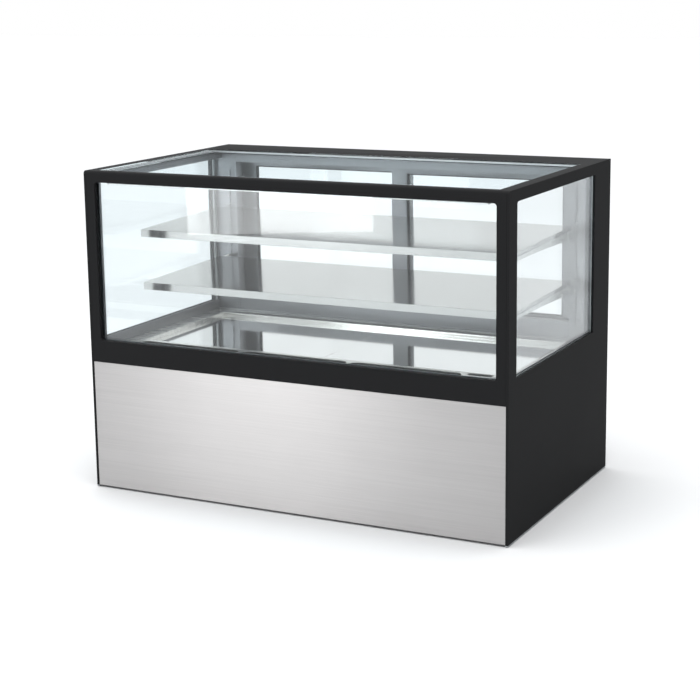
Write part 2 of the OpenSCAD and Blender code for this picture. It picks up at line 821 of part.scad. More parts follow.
module compressor() color("#1b1c1e") translate([compressor_x, compressor_y, web_top + sheet]) {
    shell_low = 14;
    shell_high = 165;
    for (x = [-75, 75], y = [-50, 50]) translate([x, y, 0]) {
        cylinder(r = 11, h = 10);
        cylinder(r = 4, h = 18);
    }
    along_z(10, shell_low) difference() {
        round_rect([-90, -64], [90, 64], 12);
        for (x = [-75, 75], y = [-50, 50]) translate([x, y]) circle(4);
    }
    rotate_extrude() intersection() {
        round_rect([-compressor_r, shell_low - 20], [compressor_r, shell_high], 30);
        rect([0, shell_low], [compressor_r, shell_high]);
    }
    block([compressor_r - 6, -22, 60], [compressor_r + 16, 22, 110]);
}

module refrigerant_pipes() color("#b87345") {
    floor_z = web_top + sheet;
    // Discharge line to the top of the condenser
    pipe([[90, 80, 190], [60, 40, 190], [-150, 40, 190], [-150, cond_tube_y, 204],
        [cond_x + cond_bend_x, cond_tube_y, 204]], 4);
    // Liquid line with its filter drier, up through the tub floor
    pipe([[cond_x - cond_bend_x, cond_tube_y, 74], [-540, cond_tube_y, 74], [-540, 60, 74],
        [line_x - 6, 60, 74], [line_x - 6, line_y, 120], [line_x - 6, line_y, 298],
        [-372, line_y, 298]], 3);
    rod([-540, 110, 74], [-540, 210, 74], 12);
    // Suction line back to the compressor
    pipe([[-372, line_y, 324], [line_x + 6, line_y, 324], [line_x + 6, line_y, 100],
        [line_x + 6, -60, 100], [120, -60, 100], [120, 50, 100]], 5);
    // Charging stub on the compressor
    rod([190, 60, 120], [190, 0, 120], 3);
    // Strap that holds the liquid line down
    block([-500, 50, floor_z], [-480, 70, 72]);
}

module drip_tray() color(plastic) {
    low = [drain_x - 140, -250, web_top + sheet];
    high = [drain_x + 140, -50, 84];
    difference() {
        block(low, high);
        block(low + [2, 2, 2], high + [-2, -2, 1]);
    }
    translate([drain_x, drain_y, 0]) difference() {
        translate([0, 0, 66]) cylinder(r = 10, h = cavity_floor - 66);
        translate([0, 0, 65]) cylinder(r = 8, h = cavity_floor - 63);
    }
    // Legs of the drain tube stand on the tray floor
    for (a = [0, 120, 240]) translate([drain_x + 9 * cos(a), drain_y + 9 * sin(a), web_top + sheet + 2])
        cylinder(r = 0.8, h = 24);
}

module electrical_box() color(zinc) {
    low = [340, 262, 60];
    high = [510, 340, 200];
    difference() {
        block(low, high);
        block(low + [sheet, -1, sheet], high - [sheet, sheet, sheet]);
    }
    block(low - [2, sheet, 2], [high.x + 2, low.y, high.z + 2]);
    both_sides_of(425) block([345, 290, web_top + sheet], [347, 320, 60]);
}

// ---- Back covers and controls ----

module at_louvres() for (x = louvre_x, i = [0:louvre_rows - 1])
    translate([x, cover_y, 40 + i * louvre_pitch]) children();

module rear_grille() color(black) {
    difference() {
        block([-inner_x + 1, cover_y, skirt_top + 1], [inner_x - 1, cover_y + cover_t, fascia_low - 1]);
        at_louvres() block([0, -1, 0], [louvre_w, cover_t + 1, louvre_h]);
        at_screws() rod_y(0, 0, screw_r, cover_y - 1, rear_y);
        rod_y(gland_x, gland_z, 8.2, cover_y - 1, rear_y);
    }
    at_louvres() along_x(-1, louvre_w + 1)
        polygon([[1, louvre_h + 0.5], [cover_t, louvre_h + 0.5], [cover_t + 7, 2], [cover_t + 7.8, 3],
            [cover_t + 0.6, louvre_h + 2], [1, louvre_h + 2]]);
}

module rear_fascia() color(black) difference() {
    block([-inner_x + 1, cover_y, fascia_low], [inner_x - 1, cover_y + cover_t, fascia_high]);
    block([control_x - 36, cover_y - 1, control_z - 15], [control_x + 36, rear_y, control_z + 15]);
    for (x = [power_x, light_x])
            block([x - 11, cover_y - 1, control_z - 15], [x + 11, rear_y, control_z + 15]);
    at_screws() rod_y(0, 0, screw_r, cover_y - 1, rear_y);
}

module control_unit() color(plastic) {
    difference() {
        union() {
            block([control_x - 36, cover_y - 50, control_z - 15],
                [control_x + 36, bezel_y, control_z + 15]);
            along_y(bezel_y, bezel_y + 3)
                round_rect([control_x - 40, control_z - 19], [control_x + 40, control_z + 19], 3);
        }
        block([control_x - 33, bezel_y + 2, control_z - 9], [control_x - 5, bezel_y + 4, control_z + 9]);
        for (x = button_x) rod_y(x, control_z, button_r + gap, bezel_y - 1, bezel_y + 4);
    }
    for (x = [power_x, light_x]) difference() {
        union() {
            block([x - 11, cover_y - 16, control_z - 15], [x + 11, bezel_y, control_z + 15]);
            along_y(bezel_y, bezel_y + 2) round_rect([x - 14, control_z - 18], [x + 14, control_z + 18], 2);
        }
        block([x - rocker_w / 2 - gap, cover_y - 15, control_z - 12.4],
            [x + rocker_w / 2 + gap, bezel_y + 3, control_z + 12.4]);
        translate([x - 10.5, rocker_y, control_z]) rotate([0, 90, 0]) cylinder(r = 1.5 + running, h = 21);
    }
}

module button(x) color("#8d9093") rod_y(x, control_z, button_r, bezel_y + 0.4, bezel_y + 3 + button_travel);

module set_button() button(button_x[0]);

module up_button() button(button_x[1]);

module down_button() button(button_x[2]);

// Rocker with a shallow V face, turned to its off position
module rocker(x) color("#3a3c3f") translate([x, rocker_y, control_z]) rotate([rocker_tilt, 0, 0]) {
    face_x = 5 + 12 * tan(rocker_tilt);
    along_x(-rocker_w / 2, rocker_w / 2) intersection() {
        circle(rocker_r);
        polygon([[-6, -12], [face_x, -12], [5, 0], [face_x, 12], [-6, 12]]);
    }
    translate([-10.2, 0, 0]) rotate([0, 90, 0]) cylinder(r = 1.5, h = 20.4);
}

module power_switch() rocker(power_x);

module light_switch() rocker(light_x);

module cable_gland() color(plastic) difference() {
    union() {
        rod_y(gland_x, gland_z, 8, cover_y - 14, bezel_y);
        translate([gland_x, rear_y - 5, gland_z]) rotate([90, 0, 0])
            cylinder(r = 13, h = rear_y - 5 - bezel_y, $fn = 6);
        rod_y(gland_x, gland_z, 10, rear_y - 6, rear_y - 0.5);
        translate([gland_x, cover_y, gland_z]) rotate([90, 0, 0]) cylinder(r = 13, h = 5, $fn = 6);
    }
    rod_y(gland_x, gland_z, gland_bore, cover_y - 15, rear_y + 1);
}

module screws() color(steel) at_screws() {
    rod_y(0, 0, screw_r, cover_y - 8, bezel_y);
    rod_y(0, 0, 4.2, bezel_y, bezel_y + 2);
}

side_panel_left();
side_panel_right();
front_surround();
top_surround();
front_panel();
base_frame();
base_pan();
levelling_feet();
insulated_tub();
deck_rim();
glass_sill();
front_glass();
side_glass();
top_glass();
top_rails();
inner_trim();
rear_pillars();
head_beam();
rear_sill();
door_tracks();
shelf_brackets();
top_light();
evaporator_coil();
fan_plate();
fan_motors();
compressor();
condenser_coil();
fan_shroud();
refrigerant_pipes();
drip_tray();
electrical_box();
rear_grille();
rear_fascia();
control_unit();
cable_gland();
screws();
deck_plate_left();
deck_plate_right();
door_frame_left();
door_frame_right();
door_glass_left();
door_glass_right();
door_pull_left();
door_pull_right();
roller_left_outer();
roller_left_inner();
roller_right_outer();
roller_right_inner();
shelf_upper();
shelf_lower();
shelf_light_upper();
shelf_light_lower();
evap_fan_left();
evap_fan_right();
condenser_fan();
set_button();
up_button();
down_button();
power_switch();
light_switch();
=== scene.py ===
"""Looks of a refrigerated bakery display case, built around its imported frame.

Metres throughout. X runs to the customer's right, Y to the back of the case and Z up. Every
place comes from the boxes of the case's own nodes.
"""
import json
import math

import bmesh
import bpy
from mathutils import Matrix, Vector

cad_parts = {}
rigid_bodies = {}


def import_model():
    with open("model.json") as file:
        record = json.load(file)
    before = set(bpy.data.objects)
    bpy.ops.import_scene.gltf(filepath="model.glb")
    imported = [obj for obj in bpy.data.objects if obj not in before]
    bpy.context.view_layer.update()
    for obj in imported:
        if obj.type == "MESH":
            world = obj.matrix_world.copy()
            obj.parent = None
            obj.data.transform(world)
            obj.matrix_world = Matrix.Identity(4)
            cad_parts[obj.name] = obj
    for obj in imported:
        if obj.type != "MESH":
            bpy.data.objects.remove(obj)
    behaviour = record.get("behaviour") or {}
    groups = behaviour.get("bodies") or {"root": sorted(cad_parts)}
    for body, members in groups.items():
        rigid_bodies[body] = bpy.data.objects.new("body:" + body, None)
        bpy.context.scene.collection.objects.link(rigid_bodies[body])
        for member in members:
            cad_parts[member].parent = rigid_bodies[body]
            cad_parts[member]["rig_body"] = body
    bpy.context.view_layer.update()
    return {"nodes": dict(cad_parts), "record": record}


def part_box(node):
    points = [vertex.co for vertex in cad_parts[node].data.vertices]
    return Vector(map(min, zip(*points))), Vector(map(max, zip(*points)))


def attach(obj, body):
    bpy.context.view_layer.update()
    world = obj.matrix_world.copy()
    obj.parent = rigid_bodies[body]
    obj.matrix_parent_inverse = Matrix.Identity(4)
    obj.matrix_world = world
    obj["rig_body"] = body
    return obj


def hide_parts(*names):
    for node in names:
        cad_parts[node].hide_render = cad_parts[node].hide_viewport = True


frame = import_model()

MM = 0.001


# ---------------------------------------------------------------- shader helpers

def put(tree, kind, by_index=(), settings=None, **by_name):
    """Adds a node. A socket given as a value is linked, anything else becomes its default."""
    made = tree.nodes.new(kind)
    for key, value in (settings or {}).items():
        setattr(made, key, value)
    fields = [(made.inputs[i], v) for i, v in enumerate(by_index) if v is not None]
    fields += [(made.inputs[name.replace("_", " ")], v) for name, v in by_name.items()]
    for socket, value in fields:
        if isinstance(value, bpy.types.NodeSocket):
            tree.links.new(value, socket)
        else:
            socket.default_value = value
    return made


def math_node(tree, operation, *values, clamp=False):
    return put(tree, "ShaderNodeMath", values, {"operation": operation, "use_clamp": clamp}).outputs[0]


def between(tree, mask, low, high):
    """A number that goes from low to high as the mask goes from 0 to 1."""
    return put(tree, "ShaderNodeMapRange", (mask, 0.0, 1.0, low, high)).outputs[0]


def mix_colour(tree, mask, first, second):
    made = put(tree, "ShaderNodeMix", settings={"data_type": "RGBA", "blend_type": "MIX"})
    for index, value in ((0, mask), (6, first), (7, second)):
        if isinstance(value, bpy.types.NodeSocket):
            tree.links.new(value, made.inputs[index])
        else:
            made.inputs[index].default_value = value
    return made.outputs[2]


def object_place(tree, scale=None):
    """Object coordinates, so a pattern keeps its real size on every piece, stretched if asked."""
    place = put(tree, "ShaderNodeTexCoord").outputs["Object"]
    if scale is None:
        return place
    return put(tree, "ShaderNodeMapping", Vector=place, Scale=scale).outputs[0]


def noise(tree, place, scale, detail, roughness=0.5):
    return put(tree, "ShaderNodeTexNoise", Vector=place, Scale=scale, Detail=detail,
               Roughness=roughness).outputs[0]


def scaled(tree, vector, factor):
    fields = (vector, None, None, factor)
    return put(tree, "ShaderNodeVectorMath", fields, {"operation": "SCALE"}).outputs[0]


def shifted(tree, base, amount, off_centre):
    """A base value, raised or lowered by some amount where a pattern is off its middle."""
    return math_node(tree, "MULTIPLY_ADD", off_centre, amount, base)


def effect_group(name, inputs, outputs):
    """An empty shader group with its named sockets: (tree, its inputs, its output node)."""
    tree = bpy.data.node_groups.new(name, "ShaderNodeTree")
    for kind, label, default in inputs:
        socket = tree.interface.new_socket(label, in_out="INPUT", socket_type="NodeSocket" + kind)
        socket.default_value = default
    for kind, label in outputs:
        tree.interface.new_socket(label, in_out="OUTPUT", socket_type="NodeSocket" + kind)
    start = tree.nodes.new("NodeGroupInput")
    end = tree.nodes.new("NodeGroupOutput")
    return tree, start.outputs, end


def wire_out(tree, end, **values):
    for name, value in values.items():
        tree.links.new(value, end.inputs[name])


def make_brush_grain():
    """Fine lines left by a brushing belt: they run where the stretch is smallest."""
    tree, given, end = effect_group(
        "brush_grain",
        [("Color", "Colour", (0.8, 0.8, 0.8, 1)), ("Vector", "Stretch", (6, 900, 900)),
         ("Float", "Contrast", 0.06), ("Float", "Roughness", 0.3)],
        [("Color", "Colour"), ("Float", "Roughness"), ("Float", "Height")])
    fields = (object_place(tree), given["Stretch"])
    place = put(tree, "ShaderNodeVectorMath", fields, {"operation": "MULTIPLY"}).outputs[0]
    fine = noise(tree, place, 1.0, 5.0, 0.65)
    broad = noise(tree, scaled(tree, place, 0.12), 1.0, 3.0)
    lines = math_node(tree, "ADD", math_node(tree, "MULTIPLY", fine, 0.7),
                      math_node(tree, "MULTIPLY", broad, 0.3))
    off_centre = math_node(tree, "SUBTRACT", lines, 0.5)
    shade = shifted(tree, 1.0, math_node(tree, "MULTIPLY", given["Contrast"], 4.0), off_centre)
    wire_out(tree, end, Colour=scaled(tree, given["Colour"], shade),
             Roughness=shifted(tree, given["Roughness"], 0.25, off_centre), Height=lines)
    return tree


def make_soft_mottle():
    """Uneven patches of tone and gloss, as handling, cleaning and casting leave them."""
    tree, given, end = effect_group(
        "soft_mottle",
        [("Color", "Colour", (0.8, 0.8, 0.8, 1)), ("Float", "Roughness", 0.4),
         ("Float", "Patch size", 0.12), ("Float", "Amount", 0.08)],
        [("Color", "Colour"), ("Float", "Roughness"), ("Float", "Mask")])
    scale = math_node(tree, "DIVIDE", 1.0, given["Patch size"])
    patches = noise(tree, object_place(tree), scale, 4.0, 0.6)
    off_centre = math_node(tree, "SUBTRACT", patches, 0.5)
    shade = shifted(tree, 1.0, math_node(tree, "MULTIPLY", given["Amount"], 2.0), off_centre)
    wire_out(tree, end, Colour=scaled(tree, given["Colour"], shade),
             Roughness=shifted(tree, given["Roughness"], given["Amount"], off_centre), Mask=patches)
    return tree


def make_fine_texture():
    """The tight pebbled skin of powder coat and of moulded plastic, as a height."""
    tree, given, end = effect_group(
        "fine_texture", [("Float", "Grain size", 0.0012), ("Float", "Sharpness", 0.5)],
        [("Float", "Height")])
    place = object_place(tree)
    scale = math_node(tree, "DIVIDE", 1.0, given["Grain size"])
    pebbles = put(tree, "ShaderNodeTexVoronoi", settings={"feature": "SMOOTH_F1"},
                  Vector=place, Scale=scale, Smoothness=1.0).outputs[0]
    speckle = noise(tree, place, scale, 2.0)
    height = math_node(tree, "ADD", math_node(tree, "MULTIPLY", pebbles, given["Sharpness"]), speckle)
    wire_out(tree, end, Height=height)
    return tree


def make_dust_film():
    """Thin dust that settles on faces that look up."""
    tree, given, end = effect_group(
        "dust_film",
        [("Color", "Colour", (0.8, 0.8, 0.8, 1)), ("Float", "Roughness", 0.4),
         ("Float", "Amount", 0.2)],
        [("Color", "Colour"), ("Float", "Roughness")])
    normal = put(tree, "ShaderNodeNewGeometry").outputs["Normal"]
    up = put(tree, "ShaderNodeSeparateXYZ", (normal,)).outputs[2]
    facing = math_node(tree, "POWER", math_node(tree, "MAXIMUM", up, 0.0), 3.0)
    specks = math_node(tree, "MULTIPLY", facing, noise(tree, object_place(tree), 60.0, 6.0, 0.7))
    mask = math_node(tree, "MULTIPLY", specks, given["Amount"], clamp=True)
    wire_out(tree, end, Colour=mix_colour(tree, mask, given["Colour"], (0.42, 0.4, 0.37, 1)),
             Roughness=shifted(tree, given["Roughness"], 0.5, mask))
    return tree


BRUSH_GRAIN = make_brush_grain()
SOFT_MOTTLE = make_soft_mottle()
FINE_TEXTURE = make_fine_texture()
DUST_FILM = make_dust_film()


def use(tree, group, **values):
    return put(tree, "ShaderNodeGroup", settings={"node_tree": group}, **values).outputs


def new_material(name):
    """An empty material with its Principled shader wired to the surface."""
    material = bpy.data.materials.new(name)
    material.use_nodes = True
    tree = material.node_tree
    tree.nodes.clear()
    shader = tree.nodes.new("ShaderNodeBsdfPrincipled")
    output = tree.nodes.new("ShaderNodeOutputMaterial")
    tree.links.new(shader.outputs[0], output.inputs[0])
    return material, tree, shader


def set_shader(tree, shader, **values):
    for name, value in values.items():
        socket = shader.inputs[name.replace("_", " ")]
        if isinstance(value, bpy.types.NodeSocket):
            tree.links.new(value, socket)
        else:
            socket.default_value = value


def bump(tree, height, strength, depth):
    return put(tree, "ShaderNodeBump", Height=height, Strength=strength, Distance=depth).outputs[0]


# ---------------------------------------------------------------- finishes

def brushed_steel(name, colour, roughness, stretch, contrast, anisotropy=0.0, grain=0.15):
    """Bare stainless steel with a level brushed grain, which draws highlights out upright."""
    material, tree, shader = new_material(name)
    lines = use(tree, BRUSH_GRAIN, Colour=colour, Stretch=stretch, Contrast=contrast, Roughness=roughness)
    tone = use(tree, SOFT_MOTTLE, Colour=lines["Colour"], Roughness=lines["Roughness"],
               Patch_size=0.35, Amount=0.05)
    set_shader(tree, shader, Base_Color=tone["Colour"], Roughness=tone["Roughness"], Metallic=1.0,
               Anisotropic=anisotropy, Normal=bump(tree, lines["Height"], grain, 0.00012))
    if anisotropy:
        tangent = put(tree, "ShaderNodeTangent", settings={"direction_type": "RADIAL", "axis": "Z"})
        tree.links.new(tangent.outputs[0], shader.inputs["Tangent"])
        shader.inputs["Anisotropic Rotation"].default_value = 0.25
    return material


def polished_steel(name, colour, roughness):
    """Stainless polished to a mirror, with the faint sleeks that polishing leaves."""
    material, tree, shader = new_material(name)
    lines = use(tree, BRUSH_GRAIN, Colour=colour, Stretch=(5, 260, 260), Contrast=0.012,
                Roughness=roughness)
    tone = use(tree, SOFT_MOTTLE, Colour=lines["Colour"], Roughness=roughness, Patch_size=0.16,
               Amount=0.025)
    set_shader(tree, shader, Base_Color=tone["Colour"], Roughness=tone["Roughness"], Metallic=1.0,
               Normal=bump(tree, tone["Mask"], 0.25, 0.0002))
    return material


def powder_coat(name, colour, roughness, specular, grain=0.0014):
    """Satin powder coat: a tight pebbled skin with uneven gloss."""
    material, tree, shader = new_material(name)
    tone = use(tree, SOFT_MOTTLE, Colour=colour, Roughness=roughness, Patch_size=0.3, Amount=0.08)
    skin = use(tree, FINE_TEXTURE, Grain_size=grain, Sharpness=0.6)
    dusty = use(tree, DUST_FILM, Colour=tone["Colour"], Roughness=tone["Roughness"], Amount=0.02)
    set_shader(tree, shader, Base_Color=dusty["Colour"], Roughness=dusty["Roughness"],
               Normal=bump(tree, skin["Height"], 0.12, 0.00004))
    shader.inputs["Specular IOR Level"].default_value = specular
    return material


def anodised_aluminium(name, colour, roughness):
    """Extruded aluminium, satin anodised, with the die lines of the extrusion."""
    material, tree, shader = new_material(name)
    lines = use(tree, BRUSH_GRAIN, Colour=colour, Stretch=(700, 700, 5), Contrast=0.03, Roughness=roughness)
    tone = use(tree, SOFT_MOTTLE, Colour=lines["Colour"], Roughness=lines["Roughness"],
               Patch_size=0.2, Amount=0.06)
    set_shader(tree, shader, Base_Color=tone["Colour"], Roughness=tone["Roughness"], Metallic=0.9,
               Normal=bump(tree, lines["Height"], 0.1, 0.00008))
    return material


def zinc_sheet(name):
    """Galvanised sheet with its spangle and a little dust."""
    material, tree, shader = new_material(name)
    place = object_place(tree, (70, 70, 70))
    cell = put(tree, "ShaderNodeTexVoronoi", Vector=place, Scale=1.0, Randomness=1.0)
    grey = put(tree, "ShaderNodeSeparateColor", (cell.outputs["Color"],)).outputs[0]
    colour = mix_colour(tree, grey, (0.46, 0.48, 0.5, 1), (0.63, 0.65, 0.67, 1))
    dusty = use(tree, DUST_FILM, Colour=colour, Roughness=between(tree, grey, 0.36, 0.52), Amount=0.35)
    set_shader(tree, shader, Base_Color=dusty["Colour"], Roughness=dusty["Roughness"], Metallic=0.85,
               Normal=bump(tree, grey, 0.15, 0.0001))
    return material


def moulded_plastic(name, colour, roughness, grain=0.0008, specular=0.45):
    """Injection moulded plastic with a fine spark-eroded texture."""
    material, tree, shader = new_material(name)
    tone = use(tree, SOFT_MOTTLE, Colour=colour, Roughness=roughness, Patch_size=0.03, Amount=0.06)
    skin = use(tree, FINE_TEXTURE, Grain_size=grain, Sharpness=0.4)
    set_shader(tree, shader, Base_Color=tone["Colour"], Roughness=tone["Roughness"],
               Normal=bump(tree, skin["Height"], 0.2, 0.00004))
    shader.inputs["Specular IOR Level"].default_value = specular
    return material


def clear_pane(name, tint):
    """Clear float glass. Shadow and diffuse rays pass straight through it, and so does most of
    what meets it at a glancing angle, as on glass with a coat that quells reflections."""
    material, tree, shader = new_material(name)
    film = use(tree, SOFT_MOTTLE, Colour=tint, Roughness=0.012, Patch_size=0.25, Amount=0.012)
    set_shader(tree, shader, Base_Color=film["Colour"], Roughness=film["Roughness"])
    shader.inputs["IOR"].default_value = 1.35
    shader.inputs["Transmission Weight"].default_value = 1.0
    path = put(tree, "ShaderNodeLightPath").outputs
    facing = put(tree, "ShaderNodeLayerWeight", Blend=0.5).outputs["Facing"]
    glancing = math_node(tree, "GREATER_THAN", facing, 0.72)
    coat = math_node(tree, "MULTIPLY", glancing, 0.95)
    passing = math_node(tree, "MAXIMUM", path["Is Shadow Ray"], path["Is Diffuse Ray"])
    through = put(tree, "ShaderNodeBsdfTransparent", Color=tint)
    clear = math_node(tree, "MAXIMUM", passing, coat)
    both = put(tree, "ShaderNodeMixShader", (clear, shader.outputs[0], through.outputs[0]))
    output = next(n for n in tree.nodes if n.type == "OUTPUT_MATERIAL")
    tree.links.new(both.outputs[0], output.inputs[0])
    return material


def milky_cover(name, glow):
    """A frosted lamp cover with its row of lights just showing behind it."""
    light_spacing = 25 * MM
    material, tree, shader = new_material(name)
    place = object_place(tree, (1 / light_spacing, 0, 0))
    along = put(tree, "ShaderNodeSeparateXYZ", (place,)).outputs[0]
    wave = math_node(tree, "COSINE", math_node(tree, "MULTIPLY", along, 2 * math.pi))
    spot = math_node(tree, "POWER", math_node(tree, "MULTIPLY_ADD", wave, 0.5, 0.5), 3.0)
    colour = mix_colour(tree, spot, (0.8, 0.79, 0.76, 1), (0.93, 0.93, 0.9, 1))
    tone = use(tree, SOFT_MOTTLE, Colour=colour, Roughness=0.35, Patch_size=0.05, Amount=0.03)
    set_shader(tree, shader, Base_Color=tone["Colour"], Roughness=tone["Roughness"],
               Emission_Color=tone["Colour"])
    shader.inputs["Emission Strength"].default_value = glow
    return material


def bare_metal(name, colour, roughness, patch=0.01, metallic=1.0):
    """Plain drawn or cast metal with handled, uneven tone."""
    material, tree, shader = new_material(name)
    tone = use(tree, SOFT_MOTTLE, Colour=colour, Roughness=roughness, Patch_size=patch, Amount=0.12)
    skin = use(tree, FINE_TEXTURE, Grain_size=0.0006, Sharpness=0.4)
    set_shader(tree, shader, Base_Color=tone["Colour"], Roughness=tone["Roughness"], Metallic=metallic,
               Normal=bump(tree, skin["Height"], 0.1, 0.00003))
    return material


def copper_tube(name):
    """Copper with the brown and pink bloom of brazing."""
    material, tree, shader = new_material(name)
    place = object_place(tree, (25, 25, 25))
    bloom = noise(tree, place, 1.0, 5.0)
    colour = mix_colour(tree, bloom, (0.5, 0.22, 0.12, 1), (0.85, 0.46, 0.3, 1))
    set_shader(tree, shader, Base_Color=colour, Roughness=between(tree, bloom, 0.22, 0.4), Metallic=1.0)
    return material


def glowing_segments(name, colour, glow):
    """The lit bars of a small number display."""
    material, tree, shader = new_material(name)
    tone = use(tree, SOFT_MOTTLE, Colour=colour, Roughness=0.3, Patch_size=0.002, Amount=0.1)
    set_shader(tree, shader, Base_Color=tone["Colour"], Roughness=tone["Roughness"],
               Emission_Color=tone["Colour"])
    shader.inputs["Emission Strength"].default_value = glow
    return material


FINISH = {
    "black_coat": powder_coat("black_powder_coat", (0.016, 0.0162, 0.017, 1), 0.5, specular=0.045),
    "brushed_stainless": brushed_steel("brushed_kick_panel_steel", (0.66, 0.645, 0.64, 1), 0.36,
                                       (7, 1400, 1400), contrast=0.09, anisotropy=0.85, grain=0.2),
    "satin_stainless": brushed_steel("satin_ledge_steel", (0.8, 0.79, 0.765, 1), 0.26,
                                     (6, 500, 500), contrast=0.03),
    "mirror_stainless": polished_steel("polished_deck_steel", (0.84, 0.835, 0.825, 1), 0.07),
    "anodised": anodised_aluminium("satin_anodised_aluminium", (0.25, 0.253, 0.265, 1), 0.38),
    "galvanised": zinc_sheet("galvanised_sheet"),
    "tub_foam": moulded_plastic("tub_skin", (0.3, 0.3, 0.29, 1), 0.42, grain=0.002),
    "clear_glass": clear_pane("clear_float_glass", (0.965, 0.985, 0.99, 1)),
    "lamp_cover": milky_cover("milky_lamp_cover", glow=0.25),
    "coil_fins": bare_metal("coil_fin_aluminium", (0.6, 0.61, 0.62, 1), 0.34),
    "motor_steel": bare_metal("motor_casing_steel", (0.13, 0.135, 0.145, 1), 0.4, metallic=0.6),
    "compressor_enamel": powder_coat("compressor_enamel", (0.014, 0.014, 0.016, 1), 0.2,
                                     specular=0.5, grain=0.003),
    "copper_tube": copper_tube("brazed_copper"),
    "black_plastic": moulded_plastic("black_moulding", (0.025, 0.025, 0.027, 1), 0.42),
    "roller_plastic": moulded_plastic("roller_acetal", (0.78, 0.77, 0.73, 1), 0.35),
    "fan_plastic": moulded_plastic("fan_blade_plastic", (0.035, 0.036, 0.04, 1), 0.38),
    "button_plastic": moulded_plastic("button_moulding", (0.3, 0.31, 0.32, 1), 0.4),
    "switch_plastic": moulded_plastic("rocker_moulding", (0.045, 0.045, 0.05, 1), 0.28),
    "screw_steel": bare_metal("zinc_plated_screw", (0.6, 0.6, 0.61, 1), 0.3, patch=0.003),
}
SHELF_STEEL = polished_steel("polished_shelf_steel", (0.56, 0.55, 0.535, 1), 0.12)
SEALANT = moulded_plastic("grey_sealant", (0.2, 0.2, 0.205, 1), 0.5, grain=0.003)
SPACER = bare_metal("spacer_bar_aluminium", (0.55, 0.56, 0.57, 1), 0.4)
RUBBER = moulded_plastic("glazing_rubber", (0.03, 0.03, 0.032, 1), 0.6, grain=0.0015, specular=0.2)
BRISTLE = moulded_plastic("bristle_nylon", (0.05, 0.05, 0.054, 1), 0.5, grain=0.0006, specular=0.3)
SMOKED = moulded_plastic("smoked_display_window", (0.006, 0.005, 0.005, 1), 0.12, grain=0.004)
DIGITS = glowing_segments("lit_display_bars", (0.9, 0.05, 0.02, 1), glow=3.0)
MARKS = moulded_plastic("printed_mark", (0.75, 0.75, 0.73, 1), 0.4, grain=0.0006)
WIRE = bare_metal("bright_guard_wire", (0.58, 0.58, 0.6, 1), 0.28, patch=0.02)

NODE_SLOT = {row["node"]: row["material_slot"] for row in frame["record"]["subparts"]}
NODE_BODY = {name: obj["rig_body"] for name, obj in frame["nodes"].items()}


# ---------------------------------------------------------------- piece helpers

def dress(obj, material):
    obj.data.materials.clear()
    obj.data.materials.append(material)


# Faces that turn by less than FLAT_DEG where they meet are joined, those that turn by less than
# SMOOTH_DEG shade as one, and an edge where they turn by more than SHARP_DEG is rounded
FLAT_DEG = 0.5
SMOOTH_DEG = 20
SHARP_DEG = 40
SAME_PLACE = 5e-6


def adopt(name, mesh, body):
    """Makes a finished mesh a piece that rides on a body, smooth except at its real edges."""
    mesh.shade_smooth()
    mesh.set_sharp_from_angle(angle=math.radians(SMOOTH_DEG))
    piece = bpy.data.objects.new(name, mesh)
    bpy.context.scene.collection.objects.link(piece)
    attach(piece, body)
    return piece


def finish_piece(name, bm, material, body):
    """Turns a bmesh into a riding piece of one material."""
    mesh = bpy.data.meshes.new(name)
    bm.to_mesh(mesh)
    bm.free()
    mesh.materials.append(material)
    return adopt(name, mesh, body)


def cut_in_quarters(bm, node):
    """Splits faces along the node's middle planes, so that none of them surrounds a window.

    The planes are nudged aside, so that they miss edges that already lie in the middle.
    """
    low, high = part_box(node)
    nudge = 0.3 * MM
    middle = (low + high) / 2 + Vector((nudge, nudge, nudge))
    for axis in range(3):
        normal = Vector((axis == 0, axis == 1, axis == 2))
        everything = [*bm.verts, *bm.edges, *bm.faces]
        bmesh.ops.bisect_plane(bm, geom=everything, plane_co=middle, plane_no=normal)


def eased_copy(node, ease):
    """The node's own shape with its doubles merged and its sharp edges slightly rounded."""
    source = frame["nodes"][node]
    bm = bmesh.new()
    bm.from_mesh(source.data)
    bmesh.ops.remove_doubles(bm, verts=bm.verts, dist=SAME_PLACE)
    bmesh.ops.dissolve_limit(bm, angle_limit=math.radians(FLAT_DEG), verts=bm.verts, edges=bm.edges)
    cut_in_quarters(bm, node)
    limit = math.radians(SHARP_DEG)
    sharp = [e for e in bm.edges if len(e.link_faces) == 2 and e.calc_face_angle(0) > limit]
    if sharp:
        bmesh.ops.bevel(bm, geom=sharp, offset=ease, offset_type="OFFSET", segments=2,
                        profile=0.5, affect="EDGES", clamp_overlap=True)
    finish = SHELF_STEEL if node in ("shelf_upper", "shelf_lower") else FINISH[NODE_SLOT[node]]
    piece = finish_piece(node + "_shell", bm, finish, NODE_BODY[node])
    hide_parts(node)


def slab(bm, low, high, ease=0.4 * MM):
    """An oblong with eased edges."""
    low, high = Vector(low), Vector(high)
    made = bmesh.ops.create_cube(bm, size=1.0)
    size = high - low
    bmesh.ops.scale(bm, vec=size, verts=made["verts"])
    bmesh.ops.translate(bm, vec=(low + high) / 2, verts=made["verts"])
    edges = list({e for v in made["verts"] for e in v.link_edges})
    if ease:
        bmesh.ops.bevel(bm, geom=edges, offset=min(ease, 0.3 * min(size)), segments=2,
                        profile=0.5, affect="EDGES", clamp_overlap=True)


